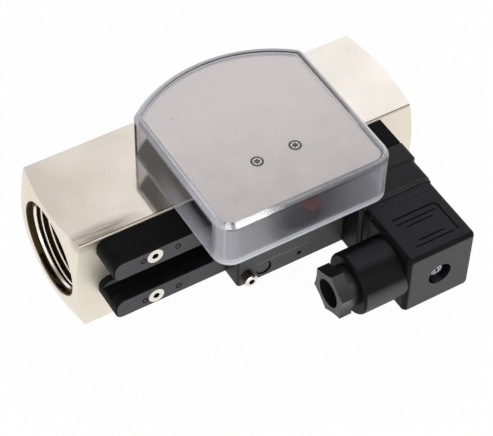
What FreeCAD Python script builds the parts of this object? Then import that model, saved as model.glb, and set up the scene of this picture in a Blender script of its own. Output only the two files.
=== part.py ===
import FreeCAD, Part

import math
import os

# Variable area flow meter, in millimetres. The origin is the middle of the body's underside,
# +X runs along the flow and +Z points up. The switch and its connector stand on the -Y side.

V = FreeCAD.Vector
X = V(1, 0, 0)
Y = V(0, 1, 0)
Z = V(0, 0, 1)

# Clearances between pieces
RUNNING_FIT = 0.07
SLIDING_GAP = 0.3
SEAT_GAP = 0.05
OVERCUT = 1.0
SOCKET_SHARE = 0.9

# Square body with a G1 port in each end
BODY_LENGTH = 131.0
BODY_SIDE = 40.0
BODY_EDGE_BREAK = 0.4
END_FACE_RADIUS = 19.6
END_CHAMFER_ANGLE = 15.0
PORT_RADIUS = 33.25 / 2
PORT_MOUTH_RADIUS = 17.2
PORT_DEPTH = 18.0
SEAT_RADIUS = 15.05
SEAT_END_X = -27.0
CHAMBER_RADIUS = 14.2
AXIS_Z = BODY_SIDE / 2
HALF_LENGTH = BODY_LENGTH / 2

# Display case, swung about the pointer's pivot at the back
PIVOT_X = 3.0
PIVOT_Y = -30.5
CASE_HALF_WIDTH = 32.1
CASE_FRONT_Y = -50.8
CASE_ARC_RADIUS = 49.0
CASE_HEIGHT = 18.6
CASE_WALL = 2.3
CASE_ROOF = 2.0
CASE_BEVEL = 1.6
CASE_FRONT_CORNER = 6.5
CASE_BACK_CORNER = 2.8
CASE_FIT = 0.3
CASE_FLOOR_Z = BODY_SIDE
CASE_TOP_Z = CASE_FLOOR_Z + CASE_HEIGHT
BASE_THICKNESS = 2.0
BASE_TOP_Z = CASE_FLOOR_Z + BASE_THICKNESS
BASE_SCREWS = [(-20.0, -14.0), (26.0, -14.0), (-14.0, 6.0), (20.0, 6.0)]
BASE_SCREW_RADIUS = 1.25
BASE_SCREW_HEAD_RADIUS = 2.3
BASE_SCREW_DEPTH = 4.0
BASE_SCREW_SOCKET = 1.5
DIAL_THICKNESS = 1.2
DIAL_ROOF_GAP = 0.2
DIAL_TOP_Z = CASE_TOP_Z - CASE_ROOF - DIAL_ROOF_GAP
DIAL_LOW_Z = DIAL_TOP_Z - DIAL_THICKNESS
DIAL_SCREW_SPACING = 14.2
DIAL_SCREW_Y = -29.8
DIAL_SCREW_RADIUS = 1.05
DIAL_SCREW_HEAD_RADIUS = 2.2
DIAL_SCREW_DEPTH = 7.0
DIAL_SCREW_SOCKET = 1.3
PILLAR_RADIUS = 2.6

# Pointer and the magnet that follows the float
FLOAT_TRAVEL = 20.0
FOLLOWER_ARM = -PIVOT_Y
POINTER_REST_ANGLE = math.degrees(FLOAT_TRAVEL / 2 / FOLLOWER_ARM)
POINTER_REACH = 45.4
POINTER_TAIL = 16.0
POINTER_WIDTH = 5.0
POINTER_TIP_WIDTH = 2.4
POINTER_LIFT = 3.4
POINTER_LOW_Z = BASE_TOP_Z + POINTER_LIFT
POINTER_THICKNESS = 2.0
POINTER_FLAG_HEIGHT = 10.0
POINTER_FLAG_THICKNESS = 1.2
HUB_RADIUS = 3.4
HUB_LIFT = 2.6
HUB_LOW_Z = BASE_TOP_Z + HUB_LIFT
HUB_HEIGHT = 4.3
PIN_RADIUS = 1.0
PIN_HEAD_RADIUS = 1.9
PIN_HEAD_HEIGHT = 0.8
PIVOT_BOSS_RADIUS = 3.0
FOLLOWER_RADIUS = 2.6
FOLLOWER_LENGTH = 2.9

# Metering sleeve, float and spring, turned about the flow axis
SLEEVE_FLANGE_LENGTH = 4.0
SLEEVE_RADIUS = 12.4
SLEEVE_BORE_RADIUS = 11.0
SLEEVE_LIP_RADIUS = 9.4
SLEEVE_LEAD_IN = 1.2
SLEEVE_END_X = 37.95
SLOT_COUNT = 4
SLOT_START_X = -16.0
SLOT_END_X = 26.0
SLOT_START_WIDTH = 1.2
SLOT_END_WIDTH = 6.8
O_RING_FLATS = 12
O_RING_SECTION = 0.72
O_RING_GROOVE_WIDTH = 1.9
MAGNET_X = PIVOT_X - FLOAT_TRAVEL / 2
MAGNET_LENGTH = 10.0
MAGNET_RADIUS = 10.6
FLOAT_RADIUS = SLEEVE_BORE_RADIUS - RUNNING_FIT
FLOAT_NOSE_X = -21.2
FLOAT_NOSE_RADIUS = 5.5
FLOAT_NOSE_LENGTH = 3.7
FLOAT_END_X = 9.0
STEM_RADIUS = 5.0
STEM_THREAD = 2.0
SPRING_POCKET_RADIUS = 8.6
SPRING_RADIUS = 7.2
SPRING_WIRE_RADIUS = 0.55
SPRING_TURNS = 6.5
SPRING_RUNS = 16
SPRING_WIRE_SIDES = 8
MITRED = 1
SPIDER_X = 38.0
SPIDER_THICKNESS = 4.0
SPIDER_BOSS_RADIUS = 6.2
SPIDER_BOSS_LENGTH = 3.5
SPIDER_SEAT_RADIUS = 8.3
SPIDER_RIM_WIDTH = 2.5
SPIDER_ARMS = 4
SPIDER_ARM_WIDTH = 3.0
RING_THICKNESS = 1.3
RING_WIDTH = 2.4
RING_GAP = 9.0
RING_EYE_RADIUS = 1.7
RING_EYE_HOLE = 0.8
RING_GROOVE_DEPTH = 0.85

# Rails on the body's front face
SWITCH_Z = 25.8
RAIL_X = (-57.5, 51.3)
RAIL_FRONT_Y = -32.0
RAIL_HEIGHT = 8.2
RAIL_PITCH = 18.8
RAIL_NOSE_RADIUS = 3.6
RAIL_CHIN_RADIUS = 2.6
RAIL_HEEL_RADIUS = 0.8
RAIL_EDGE_RADIUS = 0.6
RAIL_SCREW_X = (-42.6, 35.0)
RAIL_SCREW_OFFSET = 0.6
RAIL_SCREW_RADIUS = 1.45
RAIL_SCREW_HEAD_RADIUS = 2.85
RAIL_SCREW_DEPTH = 3.7
RAIL_SCREW_SOCKET = 2.5
RAIL_HOLE_GAP = 0.15
GROOVE_Y = (-28.2, -22.6)
GROOVE_DEPTH = 1.9
BODY_FRONT_Y = -BODY_SIDE / 2

# Switch carriage that slides on the rails
CARRIAGE_X = (-16.9, 51.8)
CARRIAGE_HEIGHT = 27.0
CARRIAGE_REAR_Y = RAIL_FRONT_Y - SLIDING_GAP
SEAM_Y = -38.0
LID_FRONT_Y = -40.4
LID_EDGE_RADIUS = 1.1
CARRIAGE_CORNER_RADIUS = 1.4
TONGUE_X = (-12.0, 46.0)
TONGUE_REAR_Y = -21.0
BOARD_POCKET_X = (-3.0, 47.0)
BOARD_POCKET_FLOOR_Y = -33.8
BOARD_POCKET_HEIGHT = 21.0
BOARD_X = (-2.0, 30.0)
BOARD_THICKNESS = 1.5
BOARD_HEIGHT = 15.0
REED_X = (1.0, 19.0)
REED_RADIUS = 1.4
REED_SLOT_FLOOR_Y = -23.0
CLAMP_X = -13.5
CLAMP_Z = 17.5
CLAMP_RADIUS = 2.45
CLAMP_PROUD = 3.5
CLAMP_SOCKET = 2.5
CLAMP_CHAMFER = 0.4
BLANKING_X = -6.8
BLANKING_Z = 17.1
BLANKING_RADIUS = 2.9
BLANKING_SINK = 0.3
PILOT_X = 6.9
PILOT_Z = 16.8
PILOT_RADIUS = 0.9
WIRE_HOLE_RADIUS = 5.0

# Square connector: socket, gasket, plug and cable gland
PLUG_X = 37.3
PLUG_SIZE = 26.0
PLUG_EDGE_RADIUS = 2.0
SOCKET_SIZE = 27.6
SOCKET_CORNER_RADIUS = 3.0
SOCKET_FRONT_Y = -49.2
FOOT_GROOVE_WIDTH = 0.5
FOOT_GROOVE_DEPTH = 0.5
GASKET_SIZE = 26.8
GASKET_CORNER_RADIUS = 2.2
GASKET_WINDOW = 21.5
PLUG_REAR_Y = -51.0
PLUG_FRONT_Y = -77.0
PLUG_RIM_LENGTH = 2.9
RIM_GROOVE_WIDTH = 0.4
RIM_GROOVE_DEPTH = 0.35
PLUG_CAVITY = 22.0
PLUG_CAVITY_DEPTH = 19.5
BLADE_CIRCLE = 9.0
BLADE_WIDTH = 6.3
BLADE_THICKNESS = 0.8
BLADE_REAR_Y = -45.2
BLADE_FRONT_Y = -60.2
INSERT_SIZE = 21.5
INNER_CORNER_RADIUS = 1.5
INSERT_FRONT_Y = -68.0
INSERT_BAY_X = 32.3
INSERT_BAY_Y = -58.0
TERMINAL_X = (35.3, 45.3)
TERMINAL_OFFSET_Z = 8.0
TERMINAL_RADIUS = 1.7
TERMINAL_DEPTH = 4.0
TERMINAL_SLOT = 0.6
PLUG_SCREW_RADIUS = 1.45
PLUG_SCREW_HEAD_RADIUS = 2.9
PLUG_SCREW_HEAD_LENGTH = 2.4
PLUG_SCREW_CROWN = 0.6
PLUG_SCREW_END_Y = -43.5
PLUG_RECESS_RADIUS = 4.3
PLUG_RECESS_FLOOR_Y = -72.0
SEAL_THICKNESS = 0.7
GLAND_Y = -65.8
COLLAR_RADIUS = 10.8
COLLAR_END_X = 8.8
COLLAR_EDGE_RADIUS = 1.0
COLLAR_BORE_RADIUS = 7.3
COLLAR_BORE_END_X = 21.0
CABLE_PASSAGE_RADIUS = 5.3
NUT_FACE_X = 1.6
NUT_HEAD_LENGTH = 4.5
NUT_CORNER_RADIUS = 8.9
NUT_SIDE_HOLLOW = 0.45
NUT_TURN = 36.0
NUT_NECK_RADIUS = 7.2
NUT_NECK_END_X = 15.0
CABLE_RADIUS = 5.1
GLAND_WASHER_THICKNESS = 0.8


def block(x, y, z):
    """Box from the low and high value along each axis."""
    return Part.makeBox(x[1] - x[0], y[1] - y[0], z[1] - z[0], V(x[0], y[0], z[0]))


def around(centre, size):
    """Low and high value of a span about its middle."""
    return (centre - size / 2, centre + size / 2)


def rod(radius, start, end):
    """Round bar between two points."""
    run = end - start
    return Part.makeCylinder(radius, run.Length, start, run)


def cone(start_radius, end_radius, start, end):
    """Tapered round bar between two points."""
    run = end - start
    return Part.makeCone(start_radius, end_radius, run.Length, start, run)


def turned(profile):
    """Solid turned about the flow axis from a closed outline of (x, radius) points."""
    points = [V(x, 0, AXIS_Z + radius) for x, radius in profile]
    face = Part.Face(Part.makePolygon(points + points[:1]))
    return face.revolve(V(0, 0, AXIS_Z), X, 360)


def straight_edges(shape, axis, keep=lambda middle: True):
    """Straight edges along an axis whose middle passes the test."""
    lines = [edge for edge in shape.Edges if isinstance(edge.Curve, Part.Line)]
    along = [edge for edge in lines if abs(edge.Curve.Direction.dot(axis)) > 0.999]
    return [edge for edge in along if keep(edge.CenterOfMass)]


def edges_at(shape, axis, level):
    """Edges that lie in the plane across an axis at the given level."""
    found = []
    for edge in shape.Edges:
        points = [vertex.Point for vertex in edge.Vertexes] + [edge.CenterOfMass]
        if all(abs(point.dot(axis) - level) < 1e-6 for point in points):
            found.append(edge)
    return found


def rounded_block(x, y, z, axis, radius):
    """Box with the edges along one axis rounded."""
    shape = block(x, y, z)
    return shape.makeFillet(radius, straight_edges(shape, axis))


def hex_prism(flats, start, end):
    """Hexagonal bar along Y or Z between two points, across flats."""
    run = end - start
    across = X * (flats / math.sqrt(3))
    corners = []
    for step in range(7):
        turn = FreeCAD.Rotation(run, 60 * step)
        corners.append(start + turn.multVec(across))
    return Part.Face(Part.makePolygon(corners)).extrude(run)


def countersunk_screw(head_radius, shank_radius, face, inward, length, socket_flats):
    """Flush countersunk screw with a hexagon socket, driven inward from a face."""
    head_length = head_radius - shank_radius
    screw = cone(head_radius, shank_radius, face, face + inward * head_length)
    screw = screw.fuse(rod(shank_radius, face + inward * head_length, face + inward * length))
    socket = hex_prism(socket_flats, face - inward * OVERCUT, face + inward * head_length * SOCKET_SHARE)
    return screw.cut(socket)


def countersunk_hole(head_radius, shank_radius, face, inward, length):
    """Hole that takes a countersunk screw with its head flush."""
    head_length = head_radius - shank_radius
    sink = cone(head_radius, shank_radius, face, face + inward * head_length)
    return sink.fuse(rod(shank_radius, face, face + inward * length))


def flow_body():
    """Square bar with turned end chamfers, bored through and stepped for what it holds."""
    corner = BODY_SIDE / math.sqrt(2)
    setback = (corner - END_FACE_RADIUS) * math.tan(math.radians(END_CHAMFER_ANGLE))
    bar = block((-HALF_LENGTH, HALF_LENGTH), around(0, BODY_SIDE), (0, BODY_SIDE))
    bar = bar.makeChamfer(BODY_EDGE_BREAK, straight_edges(bar, X))
    lathe_blank = turned([
        (-HALF_LENGTH, 0),
        (-HALF_LENGTH, END_FACE_RADIUS),
        (setback - HALF_LENGTH, corner),
        (HALF_LENGTH - setback, corner),
        (HALF_LENGTH, END_FACE_RADIUS),
        (HALF_LENGTH, 0),
    ])
    body = bar.common(lathe_blank).cut(flow_passage())
    for x in RAIL_SCREW_X:
        for z in rail_screw_heights():
            start = V(x, BODY_FRONT_Y - OVERCUT, z)
            end = V(x, BODY_FRONT_Y + RAIL_SCREW_DEPTH + SLIDING_GAP, z)
            body = body.cut(rod(RAIL_SCREW_RADIUS + SEAT_GAP, start, end))
    for x, y in BASE_SCREWS:
        start = V(x, y, BODY_SIDE + OVERCUT)
        end = V(x, y, BODY_SIDE - BASE_SCREW_DEPTH - SLIDING_GAP)
        body = body.cut(rod(BASE_SCREW_RADIUS + SEAT_GAP, start, end))
    return body


def flow_passage():
    """The stepped space right through the body, with both ring grooves."""
    mouth = PORT_MOUTH_RADIUS - PORT_RADIUS
    inlet_end = PORT_DEPTH - HALF_LENGTH
    outlet_start = HALF_LENGTH - PORT_DEPTH
    passage = turned([
        (-HALF_LENGTH - OVERCUT, 0),
        (-HALF_LENGTH - OVERCUT, PORT_MOUTH_RADIUS + OVERCUT),
        (mouth - HALF_LENGTH, PORT_RADIUS),
        (inlet_end, PORT_RADIUS),
        (inlet_end + PORT_RADIUS - SEAT_RADIUS, SEAT_RADIUS),
        (SEAT_END_X, SEAT_RADIUS),
        (SEAT_END_X, CHAMBER_RADIUS),
        (outlet_start - PORT_RADIUS + CHAMBER_RADIUS, CHAMBER_RADIUS),
        (outlet_start, PORT_RADIUS),
        (HALF_LENGTH - mouth, PORT_RADIUS),
        (HALF_LENGTH + OVERCUT, PORT_MOUTH_RADIUS + OVERCUT),
        (HALF_LENGTH + OVERCUT, 0),
    ])
    grooves = [(inlet_ring_x(), SEAT_RADIUS), (outlet_ring_x(), CHAMBER_RADIUS)]
    for x, radius in grooves:
        low = x - SEAT_GAP
        high = x + RING_THICKNESS + SEAT_GAP
        deep = radius + RING_GROOVE_DEPTH
        passage = passage.fuse(turned([(low, 0), (low, deep), (high, deep), (high, 0)]))
    return passage


def inlet_ring_x():
    """Low end of the ring that holds the sleeve."""
    return SEAT_END_X - SLEEVE_FLANGE_LENGTH - SEAT_GAP - RING_THICKNESS


def outlet_ring_x():
    """Low end of the ring that holds the spring's spider."""
    return SPIDER_X + SPIDER_THICKNESS + SEAT_GAP


def metering_sleeve():
    """Flanged tube whose tapered slots open as the float moves along it."""
    flange_x = SEAT_END_X - SLEEVE_FLANGE_LENGTH
    lip_end = FLOAT_NOSE_X - SLIDING_GAP
    flange_radius = SEAT_RADIUS - SEAT_GAP
    groove_x = around(flange_x + SLEEVE_FLANGE_LENGTH / 2, O_RING_GROOVE_WIDTH)
    groove_radius = flange_radius - 2 * O_RING_SECTION - SEAT_GAP
    sleeve = turned([
        (flange_x, SLEEVE_LIP_RADIUS + SLEEVE_LEAD_IN),
        (flange_x, flange_radius),
        (groove_x[0], flange_radius),
        (groove_x[0], groove_radius),
        (groove_x[1], groove_radius),
        (groove_x[1], flange_radius),
        (SEAT_END_X, flange_radius),
        (SEAT_END_X, SLEEVE_RADIUS),
        (SLEEVE_END_X, SLEEVE_RADIUS),
        (SLEEVE_END_X, SLEEVE_BORE_RADIUS),
        (lip_end, SLEEVE_BORE_RADIUS),
        (lip_end, SLEEVE_LIP_RADIUS),
        (flange_x + SLEEVE_LEAD_IN, SLEEVE_LIP_RADIUS),
    ])
    slot_low = AXIS_Z + SLEEVE_BORE_RADIUS / 2
    slot_height = SLEEVE_RADIUS
    outline = [
        V(SLOT_START_X, -SLOT_START_WIDTH / 2, slot_low),
        V(SLOT_END_X, -SLOT_END_WIDTH / 2, slot_low),
        V(SLOT_END_X, SLOT_END_WIDTH / 2, slot_low),
        V(SLOT_START_X, SLOT_START_WIDTH / 2, slot_low),
    ]
    slot = Part.Face(Part.makePolygon(outline + outline[:1])).extrude(Z * slot_height)
    slot_end = V(SLOT_END_X, 0, slot_low)
    slot = slot.fuse(rod(SLOT_END_WIDTH / 2, slot_end, slot_end + Z * slot_height))
    for step in range(SLOT_COUNT):
        turn = 360 / SLOT_COUNT * (step + 0.5)
        sleeve = sleeve.cut(slot.rotated(V(0, 0, AXIS_Z), X, turn))
    return sleeve


def sleeve_o_ring():
    """Seal round the sleeve's flange, its round section in short flats."""
    middle_x = SEAT_END_X - SLEEVE_FLANGE_LENGTH / 2
    ring_radius = SEAT_RADIUS - SEAT_GAP - O_RING_SECTION
    section = []
    for step in range(O_RING_FLATS):
        turn = 2 * math.pi * step / O_RING_FLATS
        x = middle_x + O_RING_SECTION * math.cos(turn)
        section.append((x, ring_radius + O_RING_SECTION * math.sin(turn)))
    return turned(section)


def retaining_ring(low_x, bore_radius):
    """Sprung ring with two eyes, open at the bottom."""
    outer = bore_radius + RING_GROOVE_DEPTH - SEAT_GAP
    inner = outer - RING_WIDTH
    high_x = low_x + RING_THICKNESS
    ring = turned([(low_x, inner), (low_x, outer), (high_x, outer), (high_x, inner)])
    gap = block((low_x - OVERCUT, high_x + OVERCUT), around(0, RING_GAP), (0, AXIS_Z))
    ring = ring.cut(gap)
    eye_y = RING_GAP / 2 + RING_EYE_RADIUS
    eye_drop = math.sqrt((bore_radius - RING_EYE_RADIUS - SLIDING_GAP) ** 2 - eye_y ** 2)
    for side in (-1, 1):
        eye = V(low_x, side * eye_y, AXIS_Z - eye_drop)
        far = eye + X * RING_THICKNESS
        ring = ring.fuse(rod(RING_EYE_RADIUS, eye, far))
        ring = ring.cut(rod(RING_EYE_HOLE, eye, far))
    return ring.removeSplitter()


def float_head():
    """Nose of the float, with the stem that carries its magnet and skirt."""
    shoulder_x = MAGNET_X - MAGNET_LENGTH / 2 - SEAT_GAP
    stem_end = MAGNET_X + MAGNET_LENGTH / 2 + STEM_THREAD
    return turned([
        (FLOAT_NOSE_X, 0),
        (FLOAT_NOSE_X, FLOAT_NOSE_RADIUS),
        (FLOAT_NOSE_X + FLOAT_NOSE_LENGTH, FLOAT_RADIUS),
        (shoulder_x, FLOAT_RADIUS),
        (shoulder_x, STEM_RADIUS),
        (stem_end, STEM_RADIUS),
        (stem_end, 0),
    ])


def float_magnet():
    """Ring magnet clamped on the float's stem."""
    low, high = around(MAGNET_X, MAGNET_LENGTH)
    bore = STEM_RADIUS + SEAT_GAP
    return turned([(low, bore), (low, MAGNET_RADIUS), (high, MAGNET_RADIUS), (high, bore)])


def pocket_floor_x():
    """Floor of the spring's pocket in the float."""
    return MAGNET_X + MAGNET_LENGTH / 2 + STEM_THREAD + SEAT_GAP


def float_skirt():
    """Skirt screwed on the stem, with the pocket that takes the spring."""
    low = MAGNET_X + MAGNET_LENGTH / 2 + SEAT_GAP
    bore = STEM_RADIUS + SEAT_GAP
    return turned([
        (low, bore),
        (low, FLOAT_RADIUS),
        (FLOAT_END_X, FLOAT_RADIUS),
        (FLOAT_END_X, SPRING_POCKET_RADIUS),
        (pocket_floor_x(), SPRING_POCKET_RADIUS),
        (pocket_floor_x(), bore),
    ])


def return_spring():
    """Open coil between the float's pocket and the spider, in short straight runs."""
    start_x = pocket_floor_x() + SLIDING_GAP + SPRING_WIRE_RADIUS
    end_x = SPIDER_X - SEAT_GAP - SPRING_WIRE_RADIUS
    runs = round(SPRING_TURNS * SPRING_RUNS)
    points = []
    for step in range(runs + 1):
        turn = 2 * math.pi * step / SPRING_RUNS
        x = start_x + (end_x - start_x) * step / runs
        points.append(V(x, SPRING_RADIUS * math.sin(turn), AXIS_Z + SPRING_RADIUS * math.cos(turn)))
    wire = Part.makeCircle(SPRING_WIRE_RADIUS, points[0], points[1] - points[0])
    section = Part.makePolygon(wire.discretize(SPRING_WIRE_SIDES + 1))
    return Part.makePolygon(points).makePipeShell([section], True, False, MITRED)


def spring_spider():
    """Ring and hub joined by arms: it seats the spring and lets the flow through."""
    end_x = SPIDER_X + SPIDER_THICKNESS
    rim = CHAMBER_RADIUS - SEAT_GAP
    boss_x = SPIDER_X - SPIDER_BOSS_LENGTH
    hub = turned([
        (boss_x, 0),
        (boss_x, SPIDER_BOSS_RADIUS),
        (SPIDER_X, SPIDER_BOSS_RADIUS),
        (SPIDER_X, SPIDER_SEAT_RADIUS),
        (end_x, SPIDER_SEAT_RADIUS),
        (end_x, 0),
    ])
    inner = rim - SPIDER_RIM_WIDTH
    ring = turned([(SPIDER_X, inner), (SPIDER_X, rim), (end_x, rim), (end_x, inner)])
    arm_z = (AXIS_Z + SPIDER_BOSS_RADIUS, AXIS_Z + inner + SPIDER_RIM_WIDTH / 2)
    arm = block((SPIDER_X, end_x), around(0, SPIDER_ARM_WIDTH), arm_z)
    arms = [arm.rotated(V(0, 0, AXIS_Z), X, 360 / SPIDER_ARMS * step) for step in range(SPIDER_ARMS)]
    return hub.fuse([ring] + arms).removeSplitter()


def case_prism(inset, low_z, high_z):
    """Upright D-shaped prism: straight front and sides, back edge swung about the pivot."""
    half = CASE_HALF_WIDTH - inset
    front = CASE_FRONT_Y + inset
    arc_radius = CASE_ARC_RADIUS - inset
    shoulder = PIVOT_Y + math.sqrt(arc_radius ** 2 - half ** 2)
    left_back = V(PIVOT_X - half, shoulder, low_z)
    left_front = V(PIVOT_X - half, front, low_z)
    right_front = V(PIVOT_X + half, front, low_z)
    right_back = V(PIVOT_X + half, shoulder, low_z)
    crown = V(PIVOT_X, PIVOT_Y + arc_radius, low_z)
    outline = Part.Wire([
        Part.makeLine(left_back, left_front),
        Part.makeLine(left_front, right_front),
        Part.makeLine(right_front, right_back),
        Part.Arc(right_back, crown, left_back).toShape(),
    ])
    prism = Part.Face(outline).extrude(Z * (high_z - low_z))
    front_edges = straight_edges(prism, Z, lambda middle: middle.y < PIVOT_Y)
    prism = prism.makeFillet(CASE_FRONT_CORNER - inset, front_edges)
    back_edges = straight_edges(prism, Z, lambda middle: middle.y > PIVOT_Y / 2)
    return prism.makeFillet(max(CASE_BACK_CORNER - inset, SLIDING_GAP), back_edges)


def display_cover():
    """Clear moulded hood with a bevelled top edge, open underneath."""
    hood = case_prism(0, CASE_FLOOR_Z, CASE_TOP_Z)
    hood = hood.makeChamfer(CASE_BEVEL, edges_at(hood, Z, CASE_TOP_Z))
    return hood.cut(case_prism(CASE_WALL, CASE_FLOOR_Z - OVERCUT, CASE_TOP_Z - CASE_ROOF))


def display_base():
    """Floor of the case, with the pivot boss and the pillars that carry the dial plate."""
    base = case_prism(CASE_WALL + CASE_FIT, CASE_FLOOR_Z, BASE_TOP_Z)
    boss_top = HUB_LOW_Z - SLIDING_GAP
    base = base.fuse(rod(PIVOT_BOSS_RADIUS, on_pivot(CASE_FLOOR_Z), on_pivot(boss_top)))
    for x in dial_screw_places():
        foot = V(x, DIAL_SCREW_Y, CASE_FLOOR_Z)
        hole_low = V(x, DIAL_SCREW_Y, DIAL_TOP_Z - DIAL_SCREW_DEPTH - SLIDING_GAP)
        base = base.fuse(rod(PILLAR_RADIUS, foot, V(x, DIAL_SCREW_Y, DIAL_LOW_Z)))
        base = base.cut(rod(DIAL_SCREW_RADIUS + SEAT_GAP, hole_low, V(x, DIAL_SCREW_Y, DIAL_TOP_Z)))
    base = base.cut(rod(PIN_RADIUS + SEAT_GAP, on_pivot(pin_low_z()), on_pivot(CASE_TOP_Z)))
    for x, y in BASE_SCREWS:
        face = V(x, y, BASE_TOP_Z)
        head = BASE_SCREW_HEAD_RADIUS + SEAT_GAP
        base = base.cut(countersunk_hole(head, BASE_SCREW_RADIUS + SEAT_GAP, face, -Z, 2 * BASE_THICKNESS))
    return base


def on_pivot(z):
    """Point on the pointer's axis."""
    return V(PIVOT_X, PIVOT_Y, z)


def dial_screw_places():
    """X of the two screws on the dial plate."""
    return around(PIVOT_X, DIAL_SCREW_SPACING)


def pin_low_z():
    """Foot of the pivot pin, just above the case's underside."""
    return CASE_FLOOR_Z + BASE_THICKNESS / 4


def base_screws():
    """Countersunk screws that hold the case's floor on the body."""
    screws = []
    for x, y in BASE_SCREWS:
        length = BASE_THICKNESS + BASE_SCREW_DEPTH
        face = V(x, y, BASE_TOP_Z)
        screws.append(
            countersunk_screw(
                BASE_SCREW_HEAD_RADIUS, BASE_SCREW_RADIUS, face, -Z, length, BASE_SCREW_SOCKET
            )
        )
    return Part.makeCompound(screws)


def dial_plate():
    """Plain metal plate close under the case's roof."""
    plate = case_prism(CASE_WALL + CASE_FIT, DIAL_LOW_Z, DIAL_TOP_Z)
    for x in dial_screw_places():
        face = V(x, DIAL_SCREW_Y, DIAL_TOP_Z)
        head = DIAL_SCREW_HEAD_RADIUS + SEAT_GAP
        plate = plate.cut(countersunk_hole(head, DIAL_SCREW_RADIUS + SEAT_GAP, face, -Z, 2 * DIAL_THICKNESS))
    return plate


def dial_screws():
    """The two screws that hold the dial plate on its pillars."""
    screws = []
    for x in dial_screw_places():
        face = V(x, DIAL_SCREW_Y, DIAL_TOP_Z)
        screws.append(
            countersunk_screw(
                DIAL_SCREW_HEAD_RADIUS, DIAL_SCREW_RADIUS, face, -Z, DIAL_SCREW_DEPTH, DIAL_SCREW_SOCKET
            )
        )
    return Part.makeCompound(screws)


def pivot_pin():
    """Headed pin that the pointer turns on."""
    neck = on_pivot(HUB_LOW_Z + HUB_HEIGHT + SLIDING_GAP)
    pin = rod(PIN_RADIUS, on_pivot(pin_low_z()), neck)
    return pin.fuse(rod(PIN_HEAD_RADIUS, neck, neck + Z * PIN_HEAD_HEIGHT))


def at_pointer_angle(shape):
    """Turn a shape drawn along +Y from the pivot to the pointer's place at no flow."""
    return shape.rotated(V(PIVOT_X, PIVOT_Y, 0), Z, POINTER_REST_ANGLE)


def pointer():
    """Tapered pointer on a hub, with a short tail and an upright flag at the tip."""
    half_width = POINTER_WIDTH / 2
    half_tip = POINTER_TIP_WIDTH / 2
    outline = [
        V(PIVOT_X - half_width, PIVOT_Y - POINTER_TAIL, POINTER_LOW_Z),
        V(PIVOT_X + half_width, PIVOT_Y - POINTER_TAIL, POINTER_LOW_Z),
        V(PIVOT_X + half_width, PIVOT_Y + FOLLOWER_ARM, POINTER_LOW_Z),
        V(PIVOT_X + half_tip, PIVOT_Y + POINTER_REACH, POINTER_LOW_Z),
        V(PIVOT_X - half_tip, PIVOT_Y + POINTER_REACH, POINTER_LOW_Z),
        V(PIVOT_X - half_width, PIVOT_Y + FOLLOWER_ARM, POINTER_LOW_Z),
    ]
    blade = Part.Face(Part.makePolygon(outline + outline[:1])).extrude(Z * POINTER_THICKNESS)
    flag_y = (PIVOT_Y + POINTER_REACH - POINTER_FLAG_THICKNESS, PIVOT_Y + POINTER_REACH)
    flag_z = (BASE_TOP_Z + OVERCUT, BASE_TOP_Z + OVERCUT + POINTER_FLAG_HEIGHT)
    flag = block(around(PIVOT_X, POINTER_TIP_WIDTH), flag_y, flag_z)
    hub = rod(HUB_RADIUS, on_pivot(HUB_LOW_Z), on_pivot(HUB_LOW_Z + HUB_HEIGHT))
    bore = rod(PIN_RADIUS + RUNNING_FIT, on_pivot(CASE_FLOOR_Z), on_pivot(CASE_TOP_Z))
    return at_pointer_angle(blade.fuse([flag, hub]).cut(bore).removeSplitter())


def follower_magnet():
    """Magnet under the pointer, carried over the float's path."""
    top = V(PIVOT_X, PIVOT_Y + FOLLOWER_ARM, POINTER_LOW_Z)
    return at_pointer_angle(rod(FOLLOWER_RADIUS, top - Z * FOLLOWER_LENGTH, top))


def rail_heights():
    """Z of the two rails' centre lines, upper first."""
    return (SWITCH_Z + RAIL_PITCH / 2, SWITCH_Z - RAIL_PITCH / 2)


def rail_screw_heights():
    """Z of the screws in each rail, set a little away from the grooves."""
    upper, lower = rail_heights()
    return (upper + RAIL_SCREW_OFFSET, lower - RAIL_SCREW_OFFSET)


def rail(centre_z, screw_z):
    """Moulded bar with a rounded nose, grooved on the side that faces the other rail."""
    z = around(centre_z, RAIL_HEIGHT)
    bar = block(RAIL_X, (RAIL_FRONT_Y, BODY_FRONT_Y), z)
    at_nose = lambda middle: middle.x < 0 and middle.z > centre_z
    at_chin = lambda middle: middle.x < 0 and middle.z < centre_z
    at_heel = lambda middle: middle.x > 0
    bar = bar.makeFillet(RAIL_NOSE_RADIUS, straight_edges(bar, Y, at_nose))
    bar = bar.makeFillet(RAIL_CHIN_RADIUS, straight_edges(bar, Y, at_chin))
    bar = bar.makeFillet(RAIL_HEEL_RADIUS, straight_edges(bar, Y, at_heel))
    bar = bar.makeFillet(RAIL_EDGE_RADIUS, edges_at(bar, Y, RAIL_FRONT_Y))
    inner_z = z[0] if centre_z > SWITCH_Z else z[1]
    groove_x = (RAIL_X[0] - OVERCUT, RAIL_X[1] + OVERCUT)
    bar = bar.cut(block(groove_x, GROOVE_Y, around(inner_z, 2 * GROOVE_DEPTH)))
    for x in RAIL_SCREW_X:
        face = V(x, RAIL_FRONT_Y, screw_z)
        head = RAIL_SCREW_HEAD_RADIUS + RAIL_HOLE_GAP
        shank = RAIL_SCREW_RADIUS + RAIL_HOLE_GAP
        bar = bar.cut(countersunk_hole(head, shank, face, Y, 2 * (BODY_FRONT_Y - RAIL_FRONT_Y)))
    return bar


def rail_screws():
    """Countersunk screws through both rails into the body."""
    screws = []
    length = BODY_FRONT_Y - RAIL_FRONT_Y + RAIL_SCREW_DEPTH
    for z in rail_screw_heights():
        for x in RAIL_SCREW_X:
            face = V(x, RAIL_FRONT_Y, z)
            screws.append(
                countersunk_screw(
                    RAIL_SCREW_HEAD_RADIUS, RAIL_SCREW_RADIUS, face, Y, length, RAIL_SCREW_SOCKET
                )
            )
    return Part.makeCompound(screws)


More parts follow.
